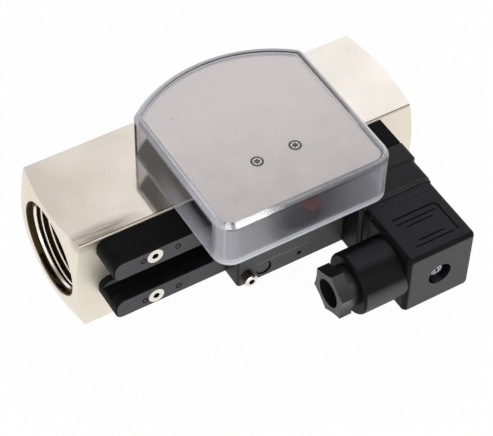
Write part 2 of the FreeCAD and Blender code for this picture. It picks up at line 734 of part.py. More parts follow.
def switch_carriage():
    """Open tray behind the switch's lid, with a tongue that runs in the rails' grooves."""
    z = around(SWITCH_Z, CARRIAGE_HEIGHT)
    tray = rounded_block(CARRIAGE_X, (SEAM_Y, CARRIAGE_REAR_Y), z, Y, CARRIAGE_CORNER_RADIUS)
    channel = RAIL_PITCH - RAIL_HEIGHT
    tongue = block(TONGUE_X, (CARRIAGE_REAR_Y, TONGUE_REAR_Y), around(SWITCH_Z, channel - 2 * SLIDING_GAP))
    rib_y = (GROOVE_Y[0] + SLIDING_GAP, GROOVE_Y[1] - SLIDING_GAP)
    rib_height = channel + 2 * GROOVE_DEPTH - 4 * SLIDING_GAP
    ribs = block(TONGUE_X, rib_y, around(SWITCH_Z, rib_height))
    tray = tray.fuse([tongue, ribs]).removeSplitter()
    pocket_y = (SEAM_Y - OVERCUT, BOARD_POCKET_FLOOR_Y)
    tray = tray.cut(block(BOARD_POCKET_X, pocket_y, around(SWITCH_Z, BOARD_POCKET_HEIGHT)))
    slot_x = (REED_X[0] - SEAT_GAP, REED_X[1] + SEAT_GAP)
    slot_z = around(SWITCH_Z, 2 * (REED_RADIUS + SEAT_GAP))
    tray = tray.cut(block(slot_x, (BOARD_POCKET_FLOOR_Y - OVERCUT, REED_SLOT_FLOOR_Y), slot_z))
    return tray.cut(clamp_hole())


def clamp_hole():
    """Round space that the clamp screw turns in."""
    start = V(CLAMP_X, LID_FRONT_Y - OVERCUT, CLAMP_Z)
    return rod(CLAMP_RADIUS + RUNNING_FIT, start, V(CLAMP_X, CARRIAGE_REAR_Y + OVERCUT, CLAMP_Z))


def switch_lid():
    """Front lid of the switch, with rounded front edges and the small holes on its face."""
    z = around(SWITCH_Z, CARRIAGE_HEIGHT)
    lid = rounded_block(CARRIAGE_X, (LID_FRONT_Y, SEAM_Y), z, Y, CARRIAGE_CORNER_RADIUS)
    lid = lid.makeFillet(LID_EDGE_RADIUS, edges_at(lid, Y, LID_FRONT_Y))
    lid = lid.cut(clamp_hole())
    front = LID_FRONT_Y - OVERCUT
    back = SEAM_Y + OVERCUT
    holes = [
        (BLANKING_X, BLANKING_Z, BLANKING_RADIUS + SEAT_GAP),
        (PILOT_X, PILOT_Z, PILOT_RADIUS),
        (PLUG_X, SWITCH_Z, WIRE_HOLE_RADIUS),
    ]
    for x, hole_z, radius in holes:
        lid = lid.cut(rod(radius, V(x, front, hole_z), V(x, back, hole_z)))
    return lid


def blanking_plug():
    """Round plug set just below the lid's face."""
    front = V(BLANKING_X, LID_FRONT_Y + BLANKING_SINK, BLANKING_Z)
    return rod(BLANKING_RADIUS, front, V(BLANKING_X, SEAM_Y, BLANKING_Z))


def clamp_screw():
    """Set screw with a hexagon socket that clamps the carriage on the lower rail."""
    front = V(CLAMP_X, LID_FRONT_Y - CLAMP_PROUD, CLAMP_Z)
    screw = rod(CLAMP_RADIUS, front, V(CLAMP_X, CARRIAGE_REAR_Y - SEAT_GAP, CLAMP_Z))
    screw = screw.makeChamfer(CLAMP_CHAMFER, edges_at(screw, Y, front.y))
    return screw.cut(hex_prism(CLAMP_SOCKET, front - Y * OVERCUT, front + Y * CLAMP_PROUD))


def reed_board():
    """Small circuit board that lies on the tray's floor."""
    rear = BOARD_POCKET_FLOOR_Y - SEAT_GAP
    return block(BOARD_X, (rear - BOARD_THICKNESS, rear), around(SWITCH_Z, BOARD_HEIGHT))


def reed_capsule():
    """Glass reed contact in its slot close to the body."""
    y = REED_SLOT_FLOOR_Y - SEAT_GAP - REED_RADIUS
    return rod(REED_RADIUS, V(REED_X[0], y, SWITCH_Z), V(REED_X[1], y, SWITCH_Z))


def plug_square(size, y, radius):
    """Square block about the connector's axis with its long edges rounded."""
    return rounded_block(around(PLUG_X, size), y, around(SWITCH_Z, size), Y, radius)


def blade_places():
    """Middle of each contact blade as (x, z), with its width along X and along Z."""
    wide = (BLADE_WIDTH, BLADE_THICKNESS)
    tall = (BLADE_THICKNESS, BLADE_WIDTH)
    return [
        (PLUG_X - BLADE_CIRCLE, SWITCH_Z, tall),
        (PLUG_X + BLADE_CIRCLE, SWITCH_Z, tall),
        (PLUG_X, SWITCH_Z - BLADE_CIRCLE, wide),
        (PLUG_X, SWITCH_Z + BLADE_CIRCLE, wide),
    ]


def blades(front_y, rear_y, gap):
    """Four flat blades, or the slots that take them when given a gap."""
    shapes = []
    for x, z, (width, height) in blade_places():
        shapes.append(block(around(x, width + 2 * gap), (front_y, rear_y), around(z, height + 2 * gap)))
    return shapes


def groove_round(size, y, depth, radius):
    """Square band to cut away round the outside of a connector block."""
    band = plug_square(size + 2 * OVERCUT, y, radius)
    return band.cut(plug_square(size - 2 * depth, y, radius - depth))


def connector_socket():
    """Square socket base on the lid, with a groove round its foot."""
    socket = plug_square(SOCKET_SIZE, (SOCKET_FRONT_Y, LID_FRONT_Y), SOCKET_CORNER_RADIUS)
    groove_y = (LID_FRONT_Y - FOOT_GROOVE_WIDTH, LID_FRONT_Y)
    socket = socket.cut(groove_round(SOCKET_SIZE, groove_y, FOOT_GROOVE_DEPTH, SOCKET_CORNER_RADIUS))
    socket = socket.cut(blades(SOCKET_FRONT_Y - OVERCUT, BLADE_REAR_Y + SEAT_GAP, SEAT_GAP))
    thread = rod(
        PLUG_SCREW_RADIUS + RUNNING_FIT,
        V(PLUG_X, SOCKET_FRONT_Y - OVERCUT, SWITCH_Z),
        V(PLUG_X, PLUG_SCREW_END_Y + SLIDING_GAP, SWITCH_Z),
    )
    return socket.cut(thread)


def contact_blades():
    """Flat contacts that stand out of the socket."""
    return Part.makeCompound(blades(BLADE_FRONT_Y, BLADE_REAR_Y, 0))


def flange_gasket():
    """Flat square seal between socket and plug."""
    y = (PLUG_REAR_Y + SLIDING_GAP, SOCKET_FRONT_Y)
    gasket = plug_square(GASKET_SIZE, y, GASKET_CORNER_RADIUS)
    window_y = (y[0] - OVERCUT, y[1] + OVERCUT)
    return gasket.cut(plug_square(GASKET_WINDOW, window_y, INNER_CORNER_RADIUS))


def plug_housing():
    """Square moulded plug with a grooved rim, a screw recess and the gland's collar."""
    rim_y = PLUG_REAR_Y - PLUG_RIM_LENGTH
    shell = block(around(PLUG_X, PLUG_SIZE), (PLUG_FRONT_Y, PLUG_REAR_Y), around(SWITCH_Z, PLUG_SIZE))
    shell = shell.makeFillet(PLUG_EDGE_RADIUS, straight_edges(shell, Y) + edges_at(shell, Y, PLUG_FRONT_Y))
    groove_y = (rim_y - RIM_GROOVE_WIDTH, rim_y)
    shell = shell.cut(groove_round(PLUG_SIZE, groove_y, RIM_GROOVE_DEPTH, PLUG_EDGE_RADIUS))
    collar = rod(COLLAR_RADIUS, gland_point(COLLAR_END_X), gland_point(PLUG_X))
    collar = collar.makeFillet(COLLAR_EDGE_RADIUS, edges_at(collar, X, COLLAR_END_X))
    shell = shell.fuse(collar)
    cavity_y = (PLUG_REAR_Y - PLUG_CAVITY_DEPTH, PLUG_REAR_Y + OVERCUT)
    shell = shell.cut(plug_square(PLUG_CAVITY, cavity_y, INNER_CORNER_RADIUS))
    shell = shell.cut([
        rod(COLLAR_BORE_RADIUS, gland_point(COLLAR_END_X - OVERCUT), gland_point(COLLAR_BORE_END_X)),
        rod(CABLE_PASSAGE_RADIUS, gland_point(COLLAR_END_X), gland_point(PLUG_X - PLUG_CAVITY / 2 + OVERCUT)),
        rod(PLUG_RECESS_RADIUS, on_plug_axis(PLUG_FRONT_Y - OVERCUT), on_plug_axis(PLUG_RECESS_FLOOR_Y)),
        rod(PLUG_SCREW_RADIUS + RUNNING_FIT, on_plug_axis(PLUG_FRONT_Y), on_plug_axis(PLUG_REAR_Y)),
    ])
    return shell


def gland_point(x):
    """Point on the gland's axis."""
    return V(x, GLAND_Y, SWITCH_Z)


def on_plug_axis(y):
    """Point on the plug screw's axis."""
    return V(PLUG_X, y, SWITCH_Z)


def terminal_places():
    """Middle of each terminal screw on the insert's front."""
    return [(x, SWITCH_Z + side * TERMINAL_OFFSET_Z) for x in TERMINAL_X for side in (-1, 1)]


def terminal_insert():
    """Terminal block inside the plug, cut away where the cable comes in."""
    y = (INSERT_FRONT_Y, PLUG_REAR_Y - SLIDING_GAP)
    insert = plug_square(INSERT_SIZE, y, INNER_CORNER_RADIUS)
    half = INSERT_SIZE / 2 + OVERCUT
    bay_y = (INSERT_FRONT_Y - OVERCUT, INSERT_BAY_Y)
    insert = insert.cut(block((PLUG_X - half, INSERT_BAY_X), bay_y, around(SWITCH_Z, 2 * half)))
    insert = insert.cut(blades(BLADE_FRONT_Y - OVERCUT, PLUG_REAR_Y + OVERCUT, SLIDING_GAP))
    insert = insert.cut(rod(PLUG_SCREW_RADIUS + SLIDING_GAP, on_plug_axis(PLUG_FRONT_Y), on_plug_axis(0)))
    for x, z in terminal_places():
        start = V(x, INSERT_FRONT_Y - OVERCUT, z)
        end = V(x, INSERT_FRONT_Y + TERMINAL_DEPTH, z)
        insert = insert.cut(rod(TERMINAL_RADIUS + SEAT_GAP, start, end))
    return insert


def terminal_screws():
    """Slotted screws sunk in the terminal block."""
    screws = []
    for x, z in terminal_places():
        end = V(x, INSERT_FRONT_Y + TERMINAL_DEPTH, z)
        screw = rod(TERMINAL_RADIUS, end - Y * TERMINAL_DEPTH, end)
        slot_y = (INSERT_FRONT_Y - OVERCUT, INSERT_FRONT_Y + OVERCUT)
        screws.append(screw.cut(block(around(x, 3 * TERMINAL_RADIUS), slot_y, around(z, TERMINAL_SLOT))))
    return Part.makeCompound(screws)


def plug_screw():
    """Long screw that holds the plug on the socket."""
    head_end = on_plug_axis(PLUG_RECESS_FLOOR_Y - SEAL_THICKNESS - SEAT_GAP)
    head_start = head_end - Y * PLUG_SCREW_HEAD_LENGTH
    screw = rod(PLUG_SCREW_HEAD_RADIUS, head_start, head_end)
    screw = screw.makeFillet(PLUG_SCREW_CROWN, edges_at(screw, Y, head_start.y))
    return screw.fuse(rod(PLUG_SCREW_RADIUS, head_end, on_plug_axis(PLUG_SCREW_END_Y)))


def screw_seal():
    """Soft washer under the plug screw's head."""
    rear = on_plug_axis(PLUG_RECESS_FLOOR_Y)
    front = rear - Y * SEAL_THICKNESS
    ring = rod(PLUG_RECESS_RADIUS - SEAT_GAP, front, rear)
    return ring.cut(rod(PLUG_SCREW_RADIUS + RUNNING_FIT, front, rear))


def gland_nut():
    """Six-sided nut with hollowed flats on a round neck, bored for the cable."""
    corners = []
    for step in range(7):
        turn = math.radians(NUT_TURN + 60 * step)
        y = GLAND_Y + NUT_CORNER_RADIUS * math.cos(turn)
        z = SWITCH_Z + NUT_CORNER_RADIUS * math.sin(turn)
        corners.append(V(NUT_FACE_X, y, z))
    centre = gland_point(NUT_FACE_X)
    sides = []
    for start, end in zip(corners, corners[1:]):
        middle = (start + end) * 0.5
        inward = (centre - middle).normalize()
        sides.append(Part.Arc(start, middle + inward * NUT_SIDE_HOLLOW, end).toShape())
    nut = Part.Face(Part.Wire(sides)).extrude(X * NUT_HEAD_LENGTH)
    nut = nut.fuse(rod(NUT_NECK_RADIUS, gland_point(NUT_FACE_X + OVERCUT), gland_point(NUT_NECK_END_X)))
    bore = rod(CABLE_RADIUS, gland_point(NUT_FACE_X - OVERCUT), gland_point(NUT_NECK_END_X + OVERCUT))
    return nut.cut(bore)


def gland_ring(start_x, end_x):
    """Ring on the cable's path inside the collar."""
    ring = rod(NUT_NECK_RADIUS, gland_point(start_x), gland_point(end_x))
    return ring.cut(rod(CABLE_RADIUS, gland_point(start_x), gland_point(end_x)))


def gland_washer():
    """Slip washer between the nut and the seal."""
    start_x = NUT_NECK_END_X + SLIDING_GAP
    return gland_ring(start_x, start_x + GLAND_WASHER_THICKNESS)


def gland_seal():
    """Soft ring that closes on the cable."""
    start_x = NUT_NECK_END_X + SLIDING_GAP + GLAND_WASHER_THICKNESS
    return gland_ring(start_x, COLLAR_BORE_END_X)


def parts():
    """Every piece by its name."""
    upper, lower = rail_heights()
    upper_screw, lower_screw = rail_screw_heights()
    return {
        "flow_body": flow_body(),
        "metering_sleeve": metering_sleeve(),
        "sleeve_o_ring": sleeve_o_ring(),
        "inlet_retaining_ring": retaining_ring(inlet_ring_x(), SEAT_RADIUS),
        "float_head": float_head(),
        "float_magnet": float_magnet(),
        "float_skirt": float_skirt(),
        "return_spring": return_spring(),
        "spring_spider": spring_spider(),
        "outlet_retaining_ring": retaining_ring(outlet_ring_x(), CHAMBER_RADIUS),
        "display_base": display_base(),
        "base_screws": base_screws(),
        "pivot_pin": pivot_pin(),
        "pointer": pointer(),
        "follower_magnet": follower_magnet(),
        "dial_plate": dial_plate(),
        "dial_screws": dial_screws(),
        "display_cover": display_cover(),
        "upper_rail": rail(upper, upper_screw),
        "lower_rail": rail(lower, lower_screw),
        "rail_screws": rail_screws(),
        "switch_carriage": switch_carriage(),
        "reed_board": reed_board(),
        "reed_capsule": reed_capsule(),
        "switch_lid": switch_lid(),
        "blanking_plug": blanking_plug(),
        "clamp_screw": clamp_screw(),
        "connector_socket": connector_socket(),
        "contact_blades": contact_blades(),
        "flange_gasket": flange_gasket(),
        "plug_housing": plug_housing(),
        "terminal_insert": terminal_insert(),
        "terminal_screws": terminal_screws(),
        "screw_seal": screw_seal(),
        "plug_screw": plug_screw(),
        "gland_seal": gland_seal(),
        "gland_washer": gland_washer(),
        "gland_nut": gland_nut(),
    }


os.makedirs("parts", exist_ok=True)
for name, shape in parts().items():
    shape.exportStep(f"parts/{name}.step")
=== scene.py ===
import math

import bmesh
import bpy
from mathutils import Matrix, Vector


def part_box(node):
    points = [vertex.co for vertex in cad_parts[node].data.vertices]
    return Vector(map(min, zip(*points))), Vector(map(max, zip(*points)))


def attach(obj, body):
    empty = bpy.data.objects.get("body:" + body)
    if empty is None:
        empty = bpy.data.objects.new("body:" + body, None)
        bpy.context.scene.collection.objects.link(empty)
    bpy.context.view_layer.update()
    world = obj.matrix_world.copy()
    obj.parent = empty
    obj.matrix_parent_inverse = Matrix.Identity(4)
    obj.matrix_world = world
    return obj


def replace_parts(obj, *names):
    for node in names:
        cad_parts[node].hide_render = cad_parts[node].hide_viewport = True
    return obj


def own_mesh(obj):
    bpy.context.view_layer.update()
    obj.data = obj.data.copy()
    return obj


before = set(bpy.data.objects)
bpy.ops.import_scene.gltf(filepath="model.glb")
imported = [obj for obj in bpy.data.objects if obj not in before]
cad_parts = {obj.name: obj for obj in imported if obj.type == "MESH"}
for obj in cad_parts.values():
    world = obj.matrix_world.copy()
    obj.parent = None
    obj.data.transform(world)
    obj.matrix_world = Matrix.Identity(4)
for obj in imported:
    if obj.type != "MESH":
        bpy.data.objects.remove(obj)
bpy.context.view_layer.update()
MM = 0.001

# Flow body: a length of square brass bar, bored and tapped for a pipe at each end, turned to a
# shallow cone on its end faces, polished and nickel plated. The drawn bar's fine lines still show
# faintly along its four sides, and the lathe's fine rings on its ends.

AXIS_Z = 20 * MM
PORT_MOUTH = 16.95 * MM
PAINTED_SHEEN_ALONG_X = (-66 * MM, 66 * MM)
SMUDGE_MIDDLE = (-54, -18, 40)
SMUDGE_SIZE = (17, 5, 5)
EDGE_LINE_Y = -19.4 * MM
EDGE_LINE_HALF = 0.2 * MM


def linear(code):
    """An sRGB hex colour as linear red, green, blue and alpha."""
    shades = [int(code[i:i + 2], 16) / 255 for i in (1, 3, 5)]
    return [s / 12.92 if s <= 0.04045 else ((s + 0.055) / 1.055) ** 2.4 for s in shades] + [1.0]


def per_mm(size):
    """Texture scale that gives a pattern of the given size in millimetres."""
    return 1 / (size * MM)


def new_finish(name):
    """An empty node material."""
    finish = bpy.data.materials.new(name)
    finish.use_nodes = True
    finish.node_tree.nodes.clear()
    return finish


def add(finish, kind, values=None, links=None, **options):
    """Adds a node with its options, socket values and links; a linked node gives its first output."""
    node = finish.node_tree.nodes.new("ShaderNode" + kind)
    for name, value in options.items():
        setattr(node, name, value)
    for socket, value in (values or {}).items():
        node.inputs[socket].default_value = value
    for socket, source in (links or {}).items():
        output = source.outputs[0] if isinstance(source, bpy.types.Node) else source
        finish.node_tree.links.new(output, node.inputs[socket])
    return node


def show(finish, shader):
    """Makes a shader the finish's surface."""
    add(finish, "OutputMaterial", links={"Surface": shader})


def dress(finish, *names):
    """Gives CAD nodes their finish."""
    for name in names:
        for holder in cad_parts[name].material_slots:
            holder.material = finish


def shade_between(finish, source, low, high, stops=(0.3, 0.7)):
    """Colour ramp between two sRGB shades."""
    ramp = add(finish, "ValToRGB", links={"Fac": source})
    for element, stop, code in zip(ramp.color_ramp.elements, stops, (low, high)):
        element.position = stop
        element.color = linear(code)
    return ramp.outputs["Color"]


# The top is polished to a mirror and the sides are satin. Fine lines of about 0.1 mm run along the
# bar, drawn 0.5 mm wide so that they show. The top is painted paler towards +X as a painted
# reflection, and the bores of the ports are painted dark brown as painted shade.
body_nickel = new_finish("polished_nickel_plated_brass")
body_place = add(body_nickel, "TexCoord").outputs["Object"]
body_drawn = add(
    body_nickel, "Mapping", {"Scale": (per_mm(60), per_mm(0.5), per_mm(0.5))}, {"Vector": body_place}
)
body_lines = add(body_nickel, "TexNoise", {"Scale": 1.0, "Detail": 4.0}, {"Vector": body_drawn})
body_across = add(
    body_nickel, "Mapping", {"Location": (0, 0, -AXIS_Z), "Scale": (0, 1, 1)}, {"Vector": body_place}
)
body_radius = add(body_nickel, "VectorMath", None, {0: body_across}, operation="LENGTH")
body_rings = add(
    body_nickel, "TexNoise", {"Scale": per_mm(0.6), "Detail": 3.0}, {"W": body_radius.outputs["Value"]},
    noise_dimensions="1D",
)
body_facing = add(body_nickel, "SeparateXYZ", None, {0: add(body_nickel, "NewGeometry").outputs["Normal"]})
body_end = add(body_nickel, "Math", None, {0: body_facing.outputs["X"]}, operation="ABSOLUTE")
body_is_end = add(body_nickel, "Math", {1: 0.6}, {0: body_end}, operation="GREATER_THAN")
body_is_top = add(body_nickel, "Math", {1: 0.8}, {0: body_facing.outputs["Z"]}, operation="GREATER_THAN")
body_marks = add(body_nickel, "Mix", None, {
    "Factor": body_is_end, "A": body_lines.outputs["Fac"], "B": body_rings.outputs["Fac"],
})
body_clouds = add(body_nickel, "TexNoise", {"Scale": per_mm(22), "Detail": 2.0}, {"Vector": body_place})
body_tone = add(body_nickel, "Math", {1: 0.09}, {0: body_marks}, operation="MULTIPLY")
body_cast = add(body_nickel, "Math", {1: 0.45}, {
    0: body_clouds.outputs["Fac"], 2: body_tone,
}, operation="MULTIPLY_ADD")
body_where = add(body_nickel, "SeparateXYZ", None, {0: body_place})
# The top is painted paler towards +X: a painted reflection.
body_painted_sheen = add(body_nickel, "MapRange", {
    "From Min": PAINTED_SHEEN_ALONG_X[0], "From Max": PAINTED_SHEEN_ALONG_X[1], "To Min": 0.0, "To Max": 0.4,
}, {"Value": body_where.outputs["X"]})
body_cast_and_sheen = add(body_nickel, "Math", None, {0: body_cast, 1: body_painted_sheen})
body_plate = add(body_nickel, "Mix", None, {
    "Factor": body_is_top,
    "A": shade_between(body_nickel, body_cast, "#EBE3D4", "#F2EBDE", (0.2, 0.4)),
    "B": shade_between(body_nickel, body_cast_and_sheen, "#D6CCC2", "#FBF5ED", (0.25, 0.72)),
}, data_type="RGBA")
# Handling has left a dull patch near one corner. A dark brown line runs along the top's front edge,
# and the edge break is painted dark brown as painted shade.
body_wiped = add(
    body_nickel, "Mapping", {"Scale": (per_mm(9), per_mm(0.9), per_mm(0.9))}, {"Vector": body_place}
)
body_streaks = add(body_nickel, "TexNoise", {"Scale": 1.0, "Detail": 3.0}, {"Vector": body_wiped})
body_near = add(body_nickel, "Mapping", {
    "Location": [-middle / size for middle, size in zip(SMUDGE_MIDDLE, SMUDGE_SIZE)],
    "Scale": [per_mm(size) for size in SMUDGE_SIZE],
}, {"Vector": body_place})
body_apart = add(body_nickel, "VectorMath", None, {0: body_near}, operation="LENGTH")
body_patch = add(body_nickel, "MapRange", {
    "From Min": 1.0, "From Max": 0.2, "To Min": 0.0, "To Max": 1.4,
}, {"Value": body_apart.outputs["Value"]})
body_smudge = add(body_nickel, "Math", None, {
    0: body_streaks.outputs["Fac"], 1: body_patch,
}, operation="MULTIPLY")
body_beside = add(body_nickel, "Math", {1: EDGE_LINE_Y, 2: EDGE_LINE_HALF}, {
    0: body_where.outputs["Y"],
}, operation="COMPARE")
body_edge_line = add(body_nickel, "Math", None, {0: body_beside, 1: body_is_top}, operation="MULTIPLY")
body_break = add(body_nickel, "Math", {1: 0.7, 2: 0.08}, {0: body_facing.outputs["Z"]}, operation="COMPARE")
body_edge_line_and_shade = add(body_nickel, "Math", {1: 0.55}, {
    0: body_break, 2: body_edge_line,
}, operation="MULTIPLY_ADD")
body_smudge_and_edge = add(body_nickel, "Math", None, {0: body_smudge, 1: body_edge_line_and_shade}, operation="MAXIMUM")
body_smudged_and_shaded = add(body_nickel, "Mix", {"B": linear("#6E6458")}, {
    "Factor": body_smudge_and_edge, "A": body_plate.outputs["Result"],
}, data_type="RGBA")
# Inside the port mouth the bore is painted dark brown: painted shade.
body_bore_shade = add(body_nickel, "Math", {1: PORT_MOUTH}, {
    0: body_radius.outputs["Value"],
}, operation="LESS_THAN")
body_colour = add(body_nickel, "Mix", {"B": linear("#54462F")}, {
    "Factor": body_bore_shade, "A": body_smudged_and_shaded.outputs["Result"],
}, data_type="RGBA")
body_satin = add(body_nickel, "MapRange", {"To Min": 0.48, "To Max": 0.06}, {"Value": body_is_top})
body_rough = add(body_nickel, "Math", {1: 0.06}, {
    0: body_marks, 2: body_satin,
}, operation="MULTIPLY_ADD")
body_bump = add(body_nickel, "Bump", {"Strength": 0.05, "Distance": 0.02 * MM}, {"Height": body_marks})
show(body_nickel, add(body_nickel, "BsdfPrincipled", {"Metallic": 1.0}, {
    "Base Color": body_colour.outputs["Result"],
    "Roughness": body_rough,
    "Normal": body_bump,
}))
dress(body_nickel, "flow_body")

# Port threads: the pipe thread tapped into each end of the body, of the same plated brass. The
# crests are burnished bright, and the flanks take the body's dark brown, the painted shade of the bore.

PORT_X = 65.5 * MM
THREAD_PITCH = 2.309 * MM
THREAD_ROOT = 16.62 * MM
THREAD_CREST = 15.2 * MM
CREST_ROUNDING = 0.25 * MM
THREAD_TURNS = 6
THREAD_STEPS = 64
THREAD_SETBACK = 2.3 * MM
# Depth and radius, in millimetres, round the section of the ring in which the thread starts.
LEAD_IN = [(2.15, 16.6), (2.4, 15.65), (3.15, 15.2), (3.4, 15.2), (4.0, 16.6)]


def placed(name, mesh, body, slot, *finishes):
    """Makes an object of a finished bmesh that rides on a CAD body."""
    data = bpy.data.meshes.new(name)
    mesh.to_mesh(data)
    mesh.free()
    for finish in finishes:
        data.materials.append(finish)
    piece = bpy.data.objects.new(name, data)
    bpy.context.scene.collection.objects.link(piece)
    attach(piece, body)
    return piece


def outward(mesh):
    """Merges doubles and turns every face outward."""
    bmesh.ops.remove_doubles(mesh, verts=mesh.verts[:], dist=0.001 * MM)
    bmesh.ops.recalc_face_normals(mesh, faces=mesh.faces[:])


def smooth(mesh, sharp_degrees=35):
    """Shades a mesh smooth, with edges over the given angle kept sharp."""
    for face in mesh.faces:
        face.smooth = True
    for edge in mesh.edges:
        if len(edge.link_faces) == 2 and edge.calc_face_angle() > math.radians(sharp_degrees):
            edge.smooth = False


def wound_thread(profile, pitch, turns, steps, centre, axis, upright):
    """Ridge wound about an axis from a closed profile of (share of the pitch, radius) points, with
    the given steps in each turn. Turns below 0 wind it left-handed."""
    mesh = bmesh.new()
    loop = [
        mesh.verts.new(centre + axis * (share * pitch) + upright * radius) for share, radius in profile
    ]
    edges = [mesh.edges.new((a, b)) for a, b in zip(loop, loop[1:] + loop[:1])]
    bmesh.ops.spin(
        mesh, geom=loop + edges, cent=centre, axis=axis, dvec=axis * (pitch / steps),
        angle=2 * math.pi * turns, steps=round(steps * abs(turns)),
    )
    bmesh.ops.holes_fill(mesh, edges=[e for e in mesh.edges if e.is_boundary], sides=0)
    outward(mesh)
    smooth(mesh)
    return mesh


burnished_nickel = new_finish("burnished_nickel_plated_brass")
crest_place = add(burnished_nickel, "TexCoord").outputs["Object"]
crest_grain = add(burnished_nickel, "TexNoise", {"Scale": per_mm(1.5)}, {"Vector": crest_place})
show(burnished_nickel, add(burnished_nickel, "BsdfPrincipled", {"Metallic": 1.0, "Roughness": 0.2}, {
    "Base Color": shade_between(burnished_nickel, crest_grain.outputs["Fac"], "#EFE6D6", "#FAF5EC"),
}))
ridge = [
    (0.03, THREAD_ROOT), (0.36, THREAD_CREST + CREST_ROUNDING), (0.5, THREAD_CREST),
    (0.6, THREAD_CREST), (0.97, THREAD_ROOT),
]
for port, side in (("inlet", 1), ("outlet", -1)):
    axis = Vector((side, 0, 0))
    mouth = Vector((-side * PORT_X, 0, AXIS_Z))
    start = mouth + axis * THREAD_SETBACK
    thread = wound_thread(
        ridge, THREAD_PITCH, THREAD_TURNS, THREAD_STEPS, start, axis, Vector((0, 0, 1))
    )
    loop = [thread.verts.new(mouth + axis * (x * MM) + Vector((0, 0, r * MM))) for x, r in LEAD_IN]
    edges = [thread.edges.new((a, b)) for a, b in zip(loop, loop[1:] + loop[:1])]
    bmesh.ops.spin(
        thread, geom=loop + edges, cent=mouth, axis=axis, angle=2 * math.pi, steps=THREAD_STEPS,
        use_merge=True,
    )
    outward(thread)
    smooth(thread, 20)
    for face in thread.faces:
        middle = face.calc_center_median() - mouth
        is_crest = middle.cross(axis).length < THREAD_CREST + CREST_ROUNDING
        face.material_index = 1 if is_crest else 0
    placed(port + "_thread", thread, "meter", "body_nickel", body_nickel, burnished_nickel)

# Metering sleeve and spider: turned from brass bar, slotted and drilled, and left bright. They sit
# in the body's bore between two sprung rings and guide the float.


def metal_finish(name, pale, dark, roughness, grain):
    """Machined metal: two close shades in a fine grain of the given size, which also roughens it."""
    finish = new_finish(name)
    place = add(finish, "TexCoord").outputs["Object"]
    specks = add(finish, "TexNoise", {"Scale": per_mm(grain), "Detail": 5.0}, {"Vector": place})
    rough = add(finish, "MapRange", {
        "From Min": 0.3, "From Max": 0.7, "To Min": roughness - 0.06, "To Max": roughness + 0.08,
    }, {"Value": specks.outputs["Fac"]})
    bump = add(finish, "Bump", {"Strength": 0.2, "Distance": 0.04 * MM}, {"Height": specks.outputs["Fac"]})
    show(finish, add(finish, "BsdfPrincipled", {"Metallic": 1.0}, {
        "Base Color": shade_between(finish, specks.outputs["Fac"], dark, pale),
        "Roughness": rough,
        "Normal": bump,
    }))
    return finish


dress(metal_finish("turned_brass", "#D9B872", "#B8934C", 0.28, 0.5), "metering_sleeve", "spring_spider")

# Sleeve seal, gland seal and screw seal: moulded nitrile rubber, black, soft and without shine. The
# sleeve's ring lies in a groove, and the others lie under the gland nut and under the plug's screw.

# A face counts as a front or a top one as this part of its normal goes from the first value to the next.
FRONT_FACES = ("Y", -0.9, -0.99)
TOP_FACES = ("Z", 0.9, 0.98)


def dull_finish(name, pale, dark, roughness, grain, depth, specular=0.5, painted_front_light=None, flat=None):
    """Moulded or cut material with a fine grain; painted_front_light gives two paler shades painted on
    its front faces as painted light, and flat two shades painted on its top faces as painted light."""
    finish = new_finish(name)
    place = add(finish, "TexCoord").outputs["Object"]
    grains = add(finish, "TexNoise", {"Scale": per_mm(grain), "Detail": 3.0}, {"Vector": place})
    clouds = add(finish, "TexNoise", {"Scale": per_mm(9), "Detail": 2.0}, {"Vector": place})
    tone = add(finish, "Math", {1: 0.5}, {0: grains.outputs["Fac"]}, operation="MULTIPLY")
    blend = add(finish, "Math", {1: 0.5}, {0: clouds.outputs["Fac"], 2: tone}, operation="MULTIPLY_ADD")
    rough = add(finish, "MapRange", {
        "From Min": 0.3, "From Max": 0.7, "To Min": roughness - 0.07, "To Max": roughness + 0.07,
    }, {"Value": clouds.outputs["Fac"]})
    bump = add(finish, "Bump", {"Strength": 0.3, "Distance": depth * MM}, {"Height": grains.outputs["Fac"]})
    colour = shade_between(finish, blend, dark, pale)
    # Front and top faces take shades of their own: painted light, as if lit more than the other faces.
    for shades, (across, near, full) in ((painted_front_light, FRONT_FACES), (flat, TOP_FACES)):
        if shades:
            facing = add(finish, "SeparateXYZ", None, {0: add(finish, "NewGeometry").outputs["Normal"]})
            turned_there = add(
                finish, "MapRange", {"From Min": near, "From Max": full}, {"Value": facing.outputs[across]}
            )
            colour = add(finish, "Mix", None, {
                "Factor": turned_there, "A": colour,
                "B": shade_between(finish, blend, *shades),
            }, data_type="RGBA").outputs["Result"]
    show(finish, add(finish, "BsdfPrincipled", {"IOR": 1.5, "Specular IOR Level": specular}, {
        "Base Color": colour,
        "Roughness": rough,
        "Normal": bump,
    }))
    return finish


dress(
    dull_finish("moulded_nitrile_rubber", "#1B1B1B", "#121212", 0.7, 0.8, 0.03),
    "sleeve_o_ring", "screw_seal", "gland_seal",
)

# Retaining rings and return spring: stamped and coiled from spring steel, tempered to a grey-blue
# film of oxide. The spring stands between the spider and the float's pocket, and the float shortens it.

SPRING_WIRE_RADIUS = 0.55 * MM
SPRING_TURNS = 6.5
SPRING_STEPS = 48
SPRING_WIRE_SIDES = 12

